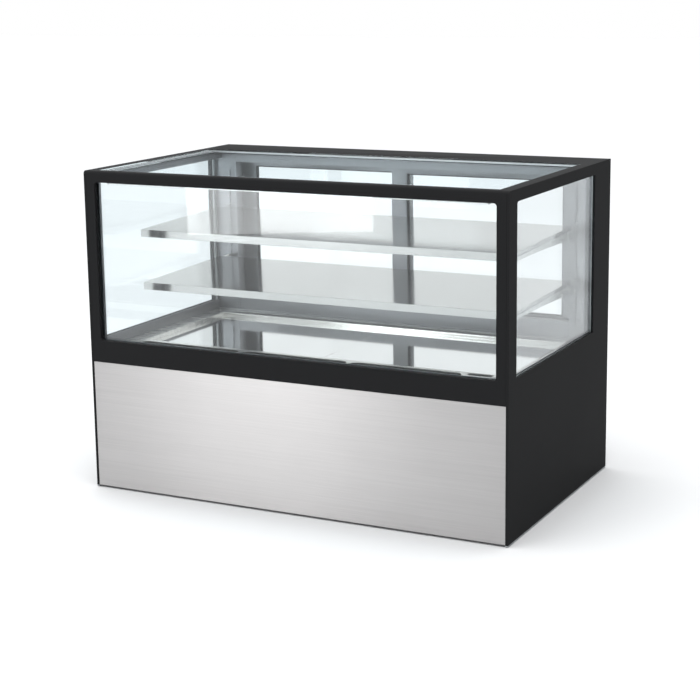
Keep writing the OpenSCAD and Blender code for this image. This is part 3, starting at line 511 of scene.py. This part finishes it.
def lathe(bm, profile, centre=(0, 0, 0), axis="Z", sectors=32):
    """Turns (radius, height) points about an axis through a centre, closed where the radius is 0."""
    rings = []
    for radius, height in profile:
        ring = []
        for step in range(1 if radius == 0 else sectors):
            angle = 2 * math.pi * step / sectors
            flat = (radius * math.cos(angle), radius * math.sin(angle))
            place = (*flat, height) if axis == "Z" else (flat[0], height, flat[1])
            ring.append(bm.verts.new(Vector(centre) + Vector(place)))
        rings.append(ring)
    faces = []
    for below, above in zip(rings, rings[1:]):
        for step in range(sectors):
            corners = [below[step % len(below)], below[(step + 1) % len(below)],
                       above[(step + 1) % len(above)], above[step % len(above)]]
            faces.append(bm.faces.new(list(dict.fromkeys(corners))))
    bmesh.ops.recalc_face_normals(bm, faces=faces)


def bar_along(bm, points, radius, level, closed=False, sides=10):
    """A round bar along points that lie in one plane. level is that plane's normal."""
    points = [Vector(point) for point in points]
    level = Vector(level)
    rings = []
    for i, point in enumerate(points):
        before = points[i - 1] if closed or i else point
        after = points[(i + 1) % len(points)] if closed or i < len(points) - 1 else point
        sideways = (after - before).normalized().cross(level)
        ring = []
        for step in range(sides):
            angle = 2 * math.pi * step / sides
            outward = math.cos(angle) * level + math.sin(angle) * sideways
            ring.append(bm.verts.new(point + radius * outward))
        rings.append(ring)
    faces = []
    for near, far in zip(rings, rings[1:] + rings[:1] if closed else rings[1:]):
        for step in range(sides):
            after = (step + 1) % sides
            faces.append(bm.faces.new((near[step], near[after], far[after], far[step])))
    if not closed:
        faces += [bm.faces.new(rings[0]), bm.faces.new(rings[-1])]
    bmesh.ops.recalc_face_normals(bm, faces=faces)


def circle_points(centre, radius):
    """Points of a circle that faces along Y."""
    count = 40
    turns = [2 * math.pi * i / count for i in range(count)]
    return [Vector(centre) + Vector((radius * math.cos(t), 0, radius * math.sin(t))) for t in turns]


def solids_of(node):
    """The corners (low, high) of every separate solid in a node, from left to right."""
    bm = bmesh.new()
    bm.from_mesh(frame["nodes"][node].data)
    bmesh.ops.remove_doubles(bm, verts=bm.verts, dist=1e-5)
    waiting = set(bm.verts)
    found = []
    while waiting:
        reached = [waiting.pop()]
        places = []
        while reached:
            vert = reached.pop()
            places.append(vert.co.copy())
            for edge in vert.link_edges:
                other = edge.other_vert(vert)
                if other in waiting:
                    waiting.discard(other)
                    reached.append(other)
        found.append((Vector(map(min, zip(*places))), Vector(map(max, zip(*places)))))
    bm.free()
    return sorted(found, key=lambda corners: tuple(round(v, 4) for v in corners[0]))


# ---------------------------------------------------------------- repeated shapes, as geometry nodes

def growing_tree(name, inputs):
    """An empty geometry tree with its named inputs: (tree, input sockets, output node)."""
    tree = bpy.data.node_groups.new(name, "GeometryNodeTree")
    tree.interface.new_socket("Geometry", in_out="INPUT", socket_type="NodeSocketGeometry")
    for kind, label in inputs:
        tree.interface.new_socket(label, in_out="INPUT", socket_type="NodeSocket" + kind)
    tree.interface.new_socket("Geometry", in_out="OUTPUT", socket_type="NodeSocketGeometry")
    start = tree.nodes.new("NodeGroupInput")
    end = tree.nodes.new("NodeGroupOutput")
    return tree, start.outputs, end


def finish_growth(tree, given, end, instances):
    """Makes the instances real and gives them their finish."""
    real = put(tree, "GeometryNodeRealizeInstances", (instances,))
    dressed = put(tree, "GeometryNodeSetMaterial", Geometry=real.outputs[0], Material=given["Finish"])
    tree.links.new(dressed.outputs[0], end.inputs["Geometry"])


def make_copies_tree():
    """One small part, set on every point of the starting mesh."""
    tree, given, end = growing_tree("copies_on_points", [("Object", "Part"), ("Material", "Finish")])
    part = put(tree, "GeometryNodeObjectInfo", Object=given["Part"])
    spread = put(tree, "GeometryNodeInstanceOnPoints", Points=given["Geometry"],
                 Instance=part.outputs["Geometry"])
    finish_growth(tree, given, end, spread.outputs[0])
    return tree


def make_plates_tree():
    """A row of equal plates, such as the fins of a coil."""
    tree, given, end = growing_tree("row_of_plates", [
        ("Int", "Count"), ("Vector", "Start"), ("Vector", "Step"), ("Vector", "Plate size"),
        ("Material", "Finish")])
    line = put(tree, "GeometryNodeMeshLine", Count=given["Count"], Start_Location=given["Start"],
               Offset=given["Step"])
    plate = put(tree, "GeometryNodeMeshCube", Size=given["Plate size"])
    spread = put(tree, "GeometryNodeInstanceOnPoints", Points=line.outputs[0], Instance=plate.outputs[0])
    finish_growth(tree, given, end, spread.outputs[0])
    return tree


def make_bristles_tree():
    """A strip of bristles that point towards the front, each a little out of true."""
    tree, given, end = growing_tree("brush_strip", [
        ("Int", "Count"), ("Vector", "Start"), ("Vector", "Step"), ("Float", "Length"),
        ("Float", "Thickness"), ("Float", "Lean"), ("Int", "Seed"), ("Material", "Finish")])
    line = put(tree, "GeometryNodeMeshLine", Count=given["Count"], Start_Location=given["Start"],
               Offset=given["Step"])
    bristle = put(tree, "GeometryNodeMeshCone", Vertices=4, Radius_Top=0.0,
                  Radius_Bottom=given["Thickness"], Depth=given["Length"])
    lean = put(tree, "FunctionNodeRandomValue", settings={"data_type": "FLOAT"}, Seed=given["Seed"])
    tree.links.new(given["Lean"], lean.inputs[3])
    tree.links.new(math_node(tree, "MULTIPLY", given["Lean"], -1.0), lean.inputs[2])
    turn = put(tree, "ShaderNodeCombineXYZ", X=math.pi / 2, Y=lean.outputs[1], Z=0.0)
    spread = put(tree, "GeometryNodeInstanceOnPoints", Points=line.outputs[0],
                 Instance=bristle.outputs[0], Rotation=turn.outputs[0])
    finish_growth(tree, given, end, spread.outputs[0])
    return tree


def grow(name, tree, body, slot, points=(), **inputs):
    """Runs a tree on some starting points and keeps the result as a plain piece."""
    seed_mesh = bpy.data.meshes.new(name + "_points")
    seed_mesh.from_pydata([tuple(point) for point in points], [], [])
    holder = bpy.data.objects.new(name + "_points", seed_mesh)
    bpy.context.scene.collection.objects.link(holder)
    modifier = holder.modifiers.new("grow", "NODES")
    modifier.node_group = tree
    identifier = {item.name: item.identifier for item in tree.interface.items_tree
                  if item.in_out == "INPUT"}
    for key, value in inputs.items():
        modifier[identifier[key.replace("_", " ")]] = value
    depsgraph = bpy.context.evaluated_depsgraph_get()
    mesh = bpy.data.meshes.new_from_object(holder.evaluated_get(depsgraph), depsgraph=depsgraph)
    holder.modifiers.remove(modifier)
    bpy.data.objects.remove(holder)
    bpy.data.meshes.remove(seed_mesh)
    return adopt(name, mesh, body)


def grow_copies(name, pattern, points, finish, body, slot):
    """Copies of a bmesh pattern on some points, as one piece."""
    mesh = bpy.data.meshes.new(name + "_pattern")
    pattern.to_mesh(mesh)
    pattern.free()
    part = bpy.data.objects.new(name + "_pattern", mesh)
    bpy.context.scene.collection.objects.link(part)
    piece = grow(name, COPIES, body, slot, points, Part=part, Finish=finish)
    bpy.data.objects.remove(part)
    return piece


COPIES = make_copies_tree()
PLATES = make_plates_tree()
BRISTLES = make_bristles_tree()


# ---------------------------------------------------------------- glass units

def ring_of_bars(bm, low, high, thin, width):
    """Four bars around an oblong that is thin along one axis, laid just inside its edges."""
    across = [axis for axis in range(3) if axis != thin]
    for axis in across:
        other = across[1 - across.index(axis)]
        for side in (0, 1):
            bar_low, bar_high = list(low), list(high)
            if side:
                bar_low[axis] = high[axis] - width
            else:
                bar_high[axis] = low[axis] + width
            if axis == across[1]:
                bar_low[other] += width
                bar_high[other] -= width
            slab(bm, bar_low, bar_high, 0.3 * MM)


def spacer_between(name, low, high, thin):
    """The spacer frame and the sealant around it, between the two panes of a sealed unit."""
    sealant_width = 4 * MM
    spacer_width = 6 * MM
    frame_low, frame_high = Vector(low), Vector(high)
    for axis in range(3):
        if axis != thin:
            frame_low[axis] += sealant_width
            frame_high[axis] -= sealant_width
    bars = bmesh.new()
    ring_of_bars(bars, frame_low, frame_high, thin, spacer_width)
    finish_piece(name + "_spacer", bars, SPACER, "case")
    seal = bmesh.new()
    ring_of_bars(seal, low, high, thin, sealant_width)
    finish_piece(name + "_sealant", seal, SEALANT, "case")


def gap_of(node, thin, side=0):
    """The air gap of a sealed unit of two equal panes and an equal gap.

    Where one node holds the units of both ends, side picks one: -1 for the low end, 1 for the high.
    """
    low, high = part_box(node)
    if side > 0:
        low[thin] = high[thin] - unit_thickness()
    elif side < 0:
        high[thin] = low[thin] + unit_thickness()
    third = (high[thin] - low[thin]) / 3
    low[thin] += third
    high[thin] -= third
    return low, high


def unit_thickness():
    low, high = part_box("front_glass")
    return high.y - low.y


def build_glass_units():
    spacer_between("front_unit", *gap_of("front_glass", 1), 1)
    spacer_between("top_unit", *gap_of("top_glass", 2), 2)
    spacer_between("left_unit", *gap_of("side_glass", 0, -1), 0)
    spacer_between("right_unit", *gap_of("side_glass", 0, 1), 0)


# ---------------------------------------------------------------- screws and feet

def pan_head(radius, height):
    """A domed screw head with a cross recess, seated at y = 0 and facing the back."""
    rings, sectors = 14, 48
    arm_width, arm_length, recess = 0.28 * radius, 0.62 * radius, 0.55 * height
    bm = bmesh.new()
    rows = [[bm.verts.new((0, height - recess, 0))]]
    for ring in range(1, rings + 1):
        reach = radius * ring / rings
        row = []
        for step in range(sectors):
            angle = 2 * math.pi * step / sectors
            x, z = reach * math.cos(angle), reach * math.sin(angle)
            across, along = sorted((abs(x), abs(z)))
            sunk = recess if across < arm_width / 2 and along < arm_length else 0.0
            row.append(bm.verts.new((x, height * (1 - 0.4 * (ring / rings) ** 3) - sunk, z)))
        rows.append(row)
    rows.append([bm.verts.new((v.co.x, 0, v.co.z)) for v in rows[-1]])
    for inner, outer in zip(rows, rows[1:]):
        for step in range(sectors):
            corners = [inner[step % len(inner)], inner[(step + 1) % len(inner)],
                       outer[(step + 1) % len(outer)], outer[step % len(outer)]]
            bm.faces.new(list(dict.fromkeys(corners)))
    bm.faces.new(rows[-1])
    bmesh.ops.recalc_face_normals(bm, faces=bm.faces)
    return bm


def threaded_rod(bm, radius, low, high, pitch, axis="Z"):
    """A rod with the ridges of its thread and a chamfer at each end."""
    turns = round((high - low) / pitch)
    profile = [(0, low), (0.8 * radius, low)]
    for i in range(turns):
        profile += [(radius, low + (i + 0.3) * pitch), (0.88 * radius, low + (i + 0.8) * pitch)]
    lathe(bm, profile + [(0.8 * radius, high), (0, high)], axis=axis, sectors=20)


def build_screws():
    """Cross-recess screws down both edges of the back covers."""
    solids = solids_of("screws")
    low, high = solids[0]
    head_radius = (high.z - low.z) / 2
    head_height = 2 * MM
    thread_radius = 2 * MM
    thread_pitch = 0.8 * MM
    seats = [((a.x + b.x) / 2, b.y - head_height, (a.z + b.z) / 2) for a, b in solids]
    pattern = pan_head(head_radius, head_height)
    threaded_rod(pattern, thread_radius, low.y - (high.y - head_height), 0.0, thread_pitch, axis="Y")
    piece = grow_copies("cover_screws", pattern, seats, FINISH["screw_steel"], "case", "screw_steel")
    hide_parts("screws")


def build_feet():
    """Levelling feet: a stepped pad, a threaded stem and its lock nut."""
    solids = solids_of("levelling_feet")
    low, high = solids[0]
    pad_radius, height = (high.x - low.x) / 2, high.z - low.z
    nut_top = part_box("base_frame")[0].z + height - 16 * MM
    nut_edge, nut_radius = 8 * MM, 9 * MM
    stem_radius, stem_pitch = 5 * MM, 1.5 * MM
    pad_top = 12 * MM
    pattern = bmesh.new()
    lathe(pattern, [(0, 0), (0.9 * pad_radius, 0), (pad_radius, 1 * MM), (pad_radius, 4 * MM),
                    (0.94 * pad_radius, 5 * MM), (0.8 * pad_radius, 5.4 * MM), (0.72 * pad_radius, 7 * MM),
                    (0.48 * pad_radius, 11.4 * MM), (0.44 * pad_radius, pad_top), (0, pad_top)])
    threaded_rod(pattern, stem_radius, pad_top - 1 * MM, height, stem_pitch)
    lathe(pattern, [(0, nut_top - 6 * MM), (nut_edge, nut_top - 6 * MM), (nut_radius, nut_top - 5.2 * MM),
                    (nut_radius, nut_top - 0.8 * MM), (nut_edge, nut_top), (0, nut_top)], sectors=6)
    seats = [((a.x + b.x) / 2, (a.y + b.y) / 2, a.z) for a, b in solids]
    piece = grow_copies("threaded_feet", pattern, seats, FINISH["black_plastic"], "case", "black_plastic")
    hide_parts("levelling_feet")


# ---------------------------------------------------------------- doors

def build_glazing_beads():
    """The rubber that holds each door pane, on both faces."""
    for side in ("left", "right"):
        pane_low, pane_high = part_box("door_glass_" + side)
        frame_low, frame_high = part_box("door_frame_" + side)
        rebate = 8 * MM
        below_face = 2.5 * MM
        bead_width = 3 * MM
        beads = bmesh.new()
        for near, far in ((pane_high.y, frame_high.y - below_face), (frame_low.y + below_face, pane_low.y)):
            ring_of_bars(beads, (pane_low.x + rebate, near, pane_low.z + rebate),
                         (pane_high.x - rebate, far, pane_high.z - rebate), 1, bead_width)
        finish_piece("glazing_rubber_" + side, beads, RUBBER, "door_" + side)


def build_brush_seal():
    """The brush on the left door that closes the gap to the right door behind the middle post."""
    low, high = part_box("door_frame_left")
    right_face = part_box("door_frame_right")[1].y
    length = low.y - right_face - 2 * MM
    spacing = 0.9 * MM
    end_margin = 6 * MM
    thickness = 0.35 * MM
    lean = 0.12
    first_seed = 7
    count = int((high.z - low.z - 2 * end_margin) / spacing)
    for row, from_edge in enumerate((9 * MM, 7.6 * MM)):
        start = (high.x - from_edge, low.y, low.z + end_margin + row * spacing / 2)
        grow(f"brush_seal_{row + 1}", BRISTLES, "door_left", "black_plastic", Count=count, Start=start,
             Step=(0, 0, spacing), Length=length, Thickness=thickness, Lean=lean,
             Seed=first_seed + row, Finish=BRISTLE)


# ---------------------------------------------------------------- lamps

SHELF_TILT = math.radians(1.5)


def lamp(name, node, body, tilt=0.0):
    """A lamp in place of its plain bar: aluminium channel, milky cover and two end caps."""
    low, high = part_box(node)
    middle = (low + high) / 2
    half = Vector((high.x - low.x, 0, 0)) / 2
    slack = 0.2 * MM if tilt else 0.0
    half.y = (high.y - low.y) / 2 / math.cos(tilt) - slack
    half.z = (high.z - low.z) / 2 - half.y * math.sin(tilt)
    lean = Matrix.Translation(middle) @ Matrix.Rotation(tilt, 4, "X")

    def leaning(finish, suffix, parts):
        bm = bmesh.new()
        for part_low, part_high in parts:
            slab(bm, part_low, part_high, 0.3 * MM)
        bmesh.ops.transform(bm, matrix=lean, verts=bm.verts)
        return finish_piece(name + suffix, bm, finish, body)

    wall = 1.2 * MM
    cap = 3 * MM
    x, y, z = half
    inner = x - cap
    skirt = -0.2 * z
    cover_top = 0.5 * z
    channel = leaning(FINISH["anodised"], "_channel", [
        ((-inner, -y, z - wall), (inner, y, z)),
        ((-inner, -y, skirt), (inner, -y + wall, z - wall)),
        ((-inner, y - wall, skirt), (inner, y, z - wall))])
    leaning(FINISH["lamp_cover"], "_cover", [
        ((-inner, -y + wall, -z), (inner, y - wall, cover_top))])
    leaning(FINISH["button_plastic"], "_caps", [
        ((-x, -y, -z), (-inner, y, z)), ((inner, -y, -z), (x, y, z))])
    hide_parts(node)


# ---------------------------------------------------------------- coils and fan guards

def build_coil(node, fin_spacing, rows):
    """A fin block with copper rows, each row a long loop with return bends at both ends."""
    low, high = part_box(node)
    tube = 4 * MM
    fin = 0.35 * MM
    bend_points = 13
    step = (high.z - low.z) / rows
    bend = (high.y - low.y) / 4
    centre_y = (low.y + high.y) / 2
    straight = (high.x - low.x) / 2 - bend - tube
    middle = (low.x + high.x) / 2
    fins_half = straight - 4 * MM
    count = int(2 * fins_half / fin_spacing) + 1
    fins = grow(node + "_fins", PLATES, "case", "coil_fins", Count=count,
                Start=(middle - fins_half, centre_y, (low.z + high.z) / 2),
                Step=(2 * fins_half / (count - 1), 0, 0),
                Plate_size=(fin, high.y - low.y, high.z - low.z), Finish=FINISH["coil_fins"])
    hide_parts(node)
    loops = bmesh.new()
    for row in range(rows):
        z = low.z + (row + 0.5) * step
        points = []
        for side in (1, -1):
            for i in range(bend_points):
                angle = math.pi * (i / (bend_points - 1) - 0.5)
                points.append((middle + side * (straight + bend * math.cos(angle)),
                               centre_y + side * bend * math.sin(angle), z))
        bar_along(loops, points, tube, (0, 0, 1), closed=True)
    finish_piece(node + "_tubes", loops, FINISH["copper_tube"], "case")


def build_guard(name, fan, plate, hole_margin, rings, rim=0.0):
    """A wire guard behind a fan: rings, crossed by spokes with feet on the plate.

    rim is how far the plate's folded edge stands back from the face that the feet rest on.
    """
    low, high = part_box(fan)
    centre = (low + high) / 2
    wire = 1 * MM
    clearance = 3 * MM
    splay = 2 * MM
    spokes = 6
    back = Vector((0, 1, 0))
    reach = (high.z - low.z) / 2 + hole_margin
    face = high.y + clearance
    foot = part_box(plate)[1].y - rim
    guard = bmesh.new()
    for i in range(rings):
        circle = circle_points((centre.x, face, centre.z), reach * (i + 1) / rings)
        bar_along(guard, circle, wire, back, closed=True, sides=8)
    hub = Vector((centre.x, face + 2 * wire, centre.z))
    for spoke in range(spokes):
        angle = 2 * math.pi * spoke / spokes
        outward = Vector((math.cos(angle), 0, math.sin(angle)))
        tip = hub + outward * reach
        knee = tip + outward * splay
        points = [hub + outward * reach / rings, tip, knee - back * clearance,
                  Vector((knee.x, foot, knee.z))]
        bar_along(guard, points, wire, outward.cross(back), sides=8)
    finish_piece(name, guard, WIRE, "case")


# ---------------------------------------------------------------- controls

# Each bar of a digit: its place from -1 to 1 across and up, and whether it lies flat
SEGMENTS = {"a": (0, 1, 1), "b": (1, 0.5, 0), "c": (1, -0.5, 0), "d": (0, -1, 1),
            "e": (-1, -0.5, 0), "f": (-1, 0.5, 0), "g": (0, 0, 1)}
LIT = {"4": "bcfg", "0": "abcdef"}


def build_display():
    """A smoked window in the controller's recess, and a lit number. Its right is towards -X."""
    low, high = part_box("set_button")
    centre = (low + high) / 2
    recess_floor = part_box("control_unit")[1].y - 1 * MM
    left, right = centre.x - 9 * MM, centre.x - 37 * MM
    gap, window_half, window_depth = 0.2 * MM, 8.8 * MM, 0.5 * MM
    window = bmesh.new()
    slab(window, (right + gap, recess_floor, centre.z - window_half),
         (left - gap, recess_floor + window_depth, centre.z + window_half))
    finish_piece("display_window", window, SMOKED, "case")

    half_width, half_height, bar = 2.4 * MM, 4.6 * MM, 0.55 * MM
    first_digit, digit_step = 8 * MM, 10.5 * MM
    point_place, point_half = 13.3 * MM, 0.5 * MM
    bar_back, bar_front = recess_floor + 0.4 * MM, recess_floor + 0.7 * MM
    digits = bmesh.new()

    def lit_bar(x, z, reach_x, reach_z):
        slab(digits, (x - reach_x, bar_back, z - reach_z), (x + reach_x, bar_front, z + reach_z), 0)

    for place, digit in enumerate("40"):
        digit_x = left - first_digit - digit_step * place
        for key in LIT[digit]:
            x, z, flat = SEGMENTS[key]
            reach = (half_width - bar, bar) if flat else (bar, half_height / 2 - 0.6 * bar)
            lit_bar(digit_x - x * half_width, centre.z + z * half_height, *reach)
    lit_bar(left - point_place, centre.z - half_height, point_half, bar)
    finish_piece("display_digits", digits, DIGITS, "case")


def build_marks():
    """Printed marks above the buttons: a triangle for up, one for down, and a dot for set."""
    set_low, set_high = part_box("set_button")
    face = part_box("control_unit")[1].y
    z = (set_low.z + set_high.z) / 2 + 9.5 * MM
    sunk, proud = 0.1 * MM, 0.15 * MM
    half_width, half_height, dot_radius = 1.8 * MM, 1.4 * MM, 1.6 * MM
    marks = bmesh.new()
    for name, way in (("up_button", 1), ("down_button", -1)):
        low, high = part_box(name)
        x = (low.x + high.x) / 2
        back, front = ([marks.verts.new((x + side * half_width, y, z + level * way * half_height))
                        for side, level in ((-1, -1), (1, -1), (0, 1))]
                       for y in (face - sunk, face + proud))
        marks.faces.new(back)
        marks.faces.new(front)
        for i in range(3):
            after = (i + 1) % 3
            marks.faces.new((back[i], back[after], front[after], front[i]))
    bmesh.ops.recalc_face_normals(marks, faces=marks.faces)
    lathe(marks, [(0, -sunk), (dot_radius, -sunk), (dot_radius, proud), (0, proud)],
          ((set_low.x + set_high.x) / 2, face, z), "Y", 20)
    finish_piece("button_marks", marks, MARKS, "case")


# ---------------------------------------------------------------- which nodes are eased

# How much the sharp edges of each node are rounded, in mm
EASES = {
    0.5: ("front_panel", "rear_pillars", "head_beam", "rear_sill", "door_frame_left",
          "door_frame_right", "shelf_upper", "shelf_lower", "rear_grille", "rear_fascia", "top_rails",
          "base_frame", "electrical_box", "inner_trim", "shelf_brackets", "control_unit",
          "cable_gland", "door_pull_left", "door_pull_right", "glass_sill", "door_tracks",
          "fan_shroud", "drip_tray", "insulated_tub"),
    1.2: ("side_panel_left", "side_panel_right"),
    0.9: ("front_surround", "top_surround"),
    0.35: ("deck_rim",),
    0.7: ("deck_plate_left", "deck_plate_right"),
}


# ---------------------------------------------------------------- room, lights and camera

# The room is brightest towards the front left and the ceiling
BRIGHT_SIDE = Vector((-0.62, -0.62, 0.48))
ROOM_LIGHT = (0.4, 1.0)
CAMERA_PLACE = Vector((2.0019, -3.9356, 1.3562))
CAMERA_TURN = math.radians(27.04)
CAMERA_DROP = math.radians(11.28)
CAMERA_ROLL = math.radians(0.777)
LENS_MM = 85.49
LENS_SHIFT = -0.06


def dress_all_nodes():
    for name, obj in frame["nodes"].items():
        dress(obj, FINISH[NODE_SLOT[name]])


def build_floor():
    mesh = bpy.data.meshes.new("studio_floor")
    half = 30.0
    corners = [(-half, -half, 0), (half, -half, 0), (half, half, 0), (-half, half, 0)]
    mesh.from_pydata(corners, [], [(0, 1, 2, 3)])
    floor = bpy.data.objects.new("studio_floor", mesh)
    bpy.context.scene.collection.objects.link(floor)
    material, tree, shader = new_material("studio_floor_paint")
    path = put(tree, "ShaderNodeLightPath").outputs
    # Painted shade in reflections: the floor is painted 0.45 instead of 0.93 for glossy rays, so shiny
    # panels mirror a darker floor than the camera sees
    painted_dark_in_reflections = math_node(tree, "SUBTRACT", path["Is Glossy Ray"], path["Is Transmission Ray"], clamp=True)
    colour = mix_colour(tree, painted_dark_in_reflections, (0.93, 0.93, 0.93, 1), (0.45, 0.45, 0.45, 1))
    tone = use(tree, SOFT_MOTTLE, Colour=colour, Roughness=0.7, Patch_size=2.0, Amount=0.01)
    set_shader(tree, shader, Base_Color=tone["Colour"], Roughness=tone["Roughness"])
    shader.inputs["Specular IOR Level"].default_value = 0.1
    dress(floor, material)


def build_world():
    world = bpy.data.worlds.new("studio")
    bpy.context.scene.world = world
    world.use_nodes = True
    tree = world.node_tree
    tree.nodes.clear()
    direction = put(tree, "ShaderNodeTexCoord").outputs["Generated"]
    towards = put(tree, "ShaderNodeVectorMath", (direction, BRIGHT_SIDE), {"operation": "DOT_PRODUCT"})
    fields = (towards.outputs["Value"], -0.8, 0.8, *ROOM_LIGHT)
    brightness = put(tree, "ShaderNodeMapRange", fields).outputs[0]
    room = put(tree, "ShaderNodeBackground", Color=(0.96, 0.98, 1.0, 1), Strength=brightness)
    backdrop = put(tree, "ShaderNodeBackground", Color=(1, 1, 1, 1), Strength=1.0)
    path = put(tree, "ShaderNodeLightPath").outputs
    seen = math_node(tree, "MAXIMUM", path["Is Camera Ray"], path["Is Transmission Ray"])
    both = put(tree, "ShaderNodeMixShader", (seen, room.outputs[0], backdrop.outputs[0]))
    output = tree.nodes.new("ShaderNodeOutputWorld")
    tree.links.new(both.outputs[0], output.inputs[0])


def softbox(name, place, target, size, glow):
    """A large flat lamp. Its glow is how bright its face looks, where the backdrop is about 1."""
    light = bpy.data.lights.new(name, "AREA")
    light.shape = "RECTANGLE"
    light.size, light.size_y = size
    light.energy = glow * math.pi * size[0] * size[1]
    obj = bpy.data.objects.new(name, light)
    obj.location = place
    obj.rotation_euler = (Vector(target) - Vector(place)).to_track_quat("-Z", "Y").to_euler()
    bpy.context.scene.collection.objects.link(obj)


def build_lights():
    softbox("front_softbox", (-2.3, -4.4, 0.9), target=(-0.1, -0.4, 0.2), size=(1.0, 2.4), glow=3.3)
    softbox("top_softbox", (0.0, -0.6, 3.6), target=(0, 0, 0.4), size=(3.5, 2.5), glow=1.2)
    sky = bpy.data.lights.new("even_top_light", "SUN")
    sky.energy = 1.1
    sky.angle = math.radians(60)
    obj = bpy.data.objects.new("even_top_light", sky)
    bpy.context.scene.collection.objects.link(obj)


def build_camera():
    """A still camera in front and to the right of the case, looking slightly down."""
    ahead = Vector((-math.sin(CAMERA_TURN) * math.cos(CAMERA_DROP),
                    math.cos(CAMERA_TURN) * math.cos(CAMERA_DROP), -math.sin(CAMERA_DROP)))
    right = Vector((math.cos(CAMERA_TURN), math.sin(CAMERA_TURN), 0))
    down = ahead.cross(right)
    tilted_right = right * math.cos(CAMERA_ROLL) + down * math.sin(CAMERA_ROLL)
    tilted_up = right * math.sin(CAMERA_ROLL) - down * math.cos(CAMERA_ROLL)
    data = bpy.data.cameras.new("camera")
    data.lens = LENS_MM
    data.sensor_width = 36
    data.shift_y = LENS_SHIFT
    camera = bpy.data.objects.new("camera", data)
    turn = Matrix((tilted_right, tilted_up, -ahead)).transposed()
    camera.matrix_world = Matrix.Translation(CAMERA_PLACE) @ turn.to_4x4()
    bpy.context.scene.collection.objects.link(camera)
    bpy.context.scene.camera = camera


def set_picture():
    """Plain picture values, and enough bounces for light to cross several panes."""
    scene = bpy.context.scene
    scene.view_settings.view_transform = "Standard"
    scene.cycles.max_bounces = 32
    scene.cycles.transmission_bounces = 28
    scene.cycles.glossy_bounces = 10
    scene.cycles.transparent_max_bounces = 32
    scene.cycles.caustics_reflective = False
    scene.cycles.caustics_refractive = False


# ---------------------------------------------------------------- put it together

build_camera()
build_world()
build_lights()
build_floor()
set_picture()
dress_all_nodes()
for ease, nodes in EASES.items():
    for node in nodes:
        eased_copy(node, ease * MM)
build_glass_units()
build_screws()
build_feet()
build_glazing_beads()
build_brush_seal()
lamp("upper_shelf_lamp", "shelf_light_upper", "shelf_upper", tilt=SHELF_TILT)
lamp("lower_shelf_lamp", "shelf_light_lower", "shelf_lower", tilt=SHELF_TILT)
lamp("top_lamp", "top_light", "case")
build_coil("evaporator_coil", fin_spacing=4 * MM, rows=3)
build_coil("condenser_coil", fin_spacing=2.5 * MM, rows=5)
for side in ("left", "right"):
    build_guard(side + "_fan_guard", "evap_fan_" + side, "fan_plate", hole_margin=7 * MM, rings=4)
build_guard("condenser_guard", "condenser_fan", "fan_shroud", hole_margin=9 * MM, rings=6,
            rim=18.5 * MM)
build_display()
build_marks()
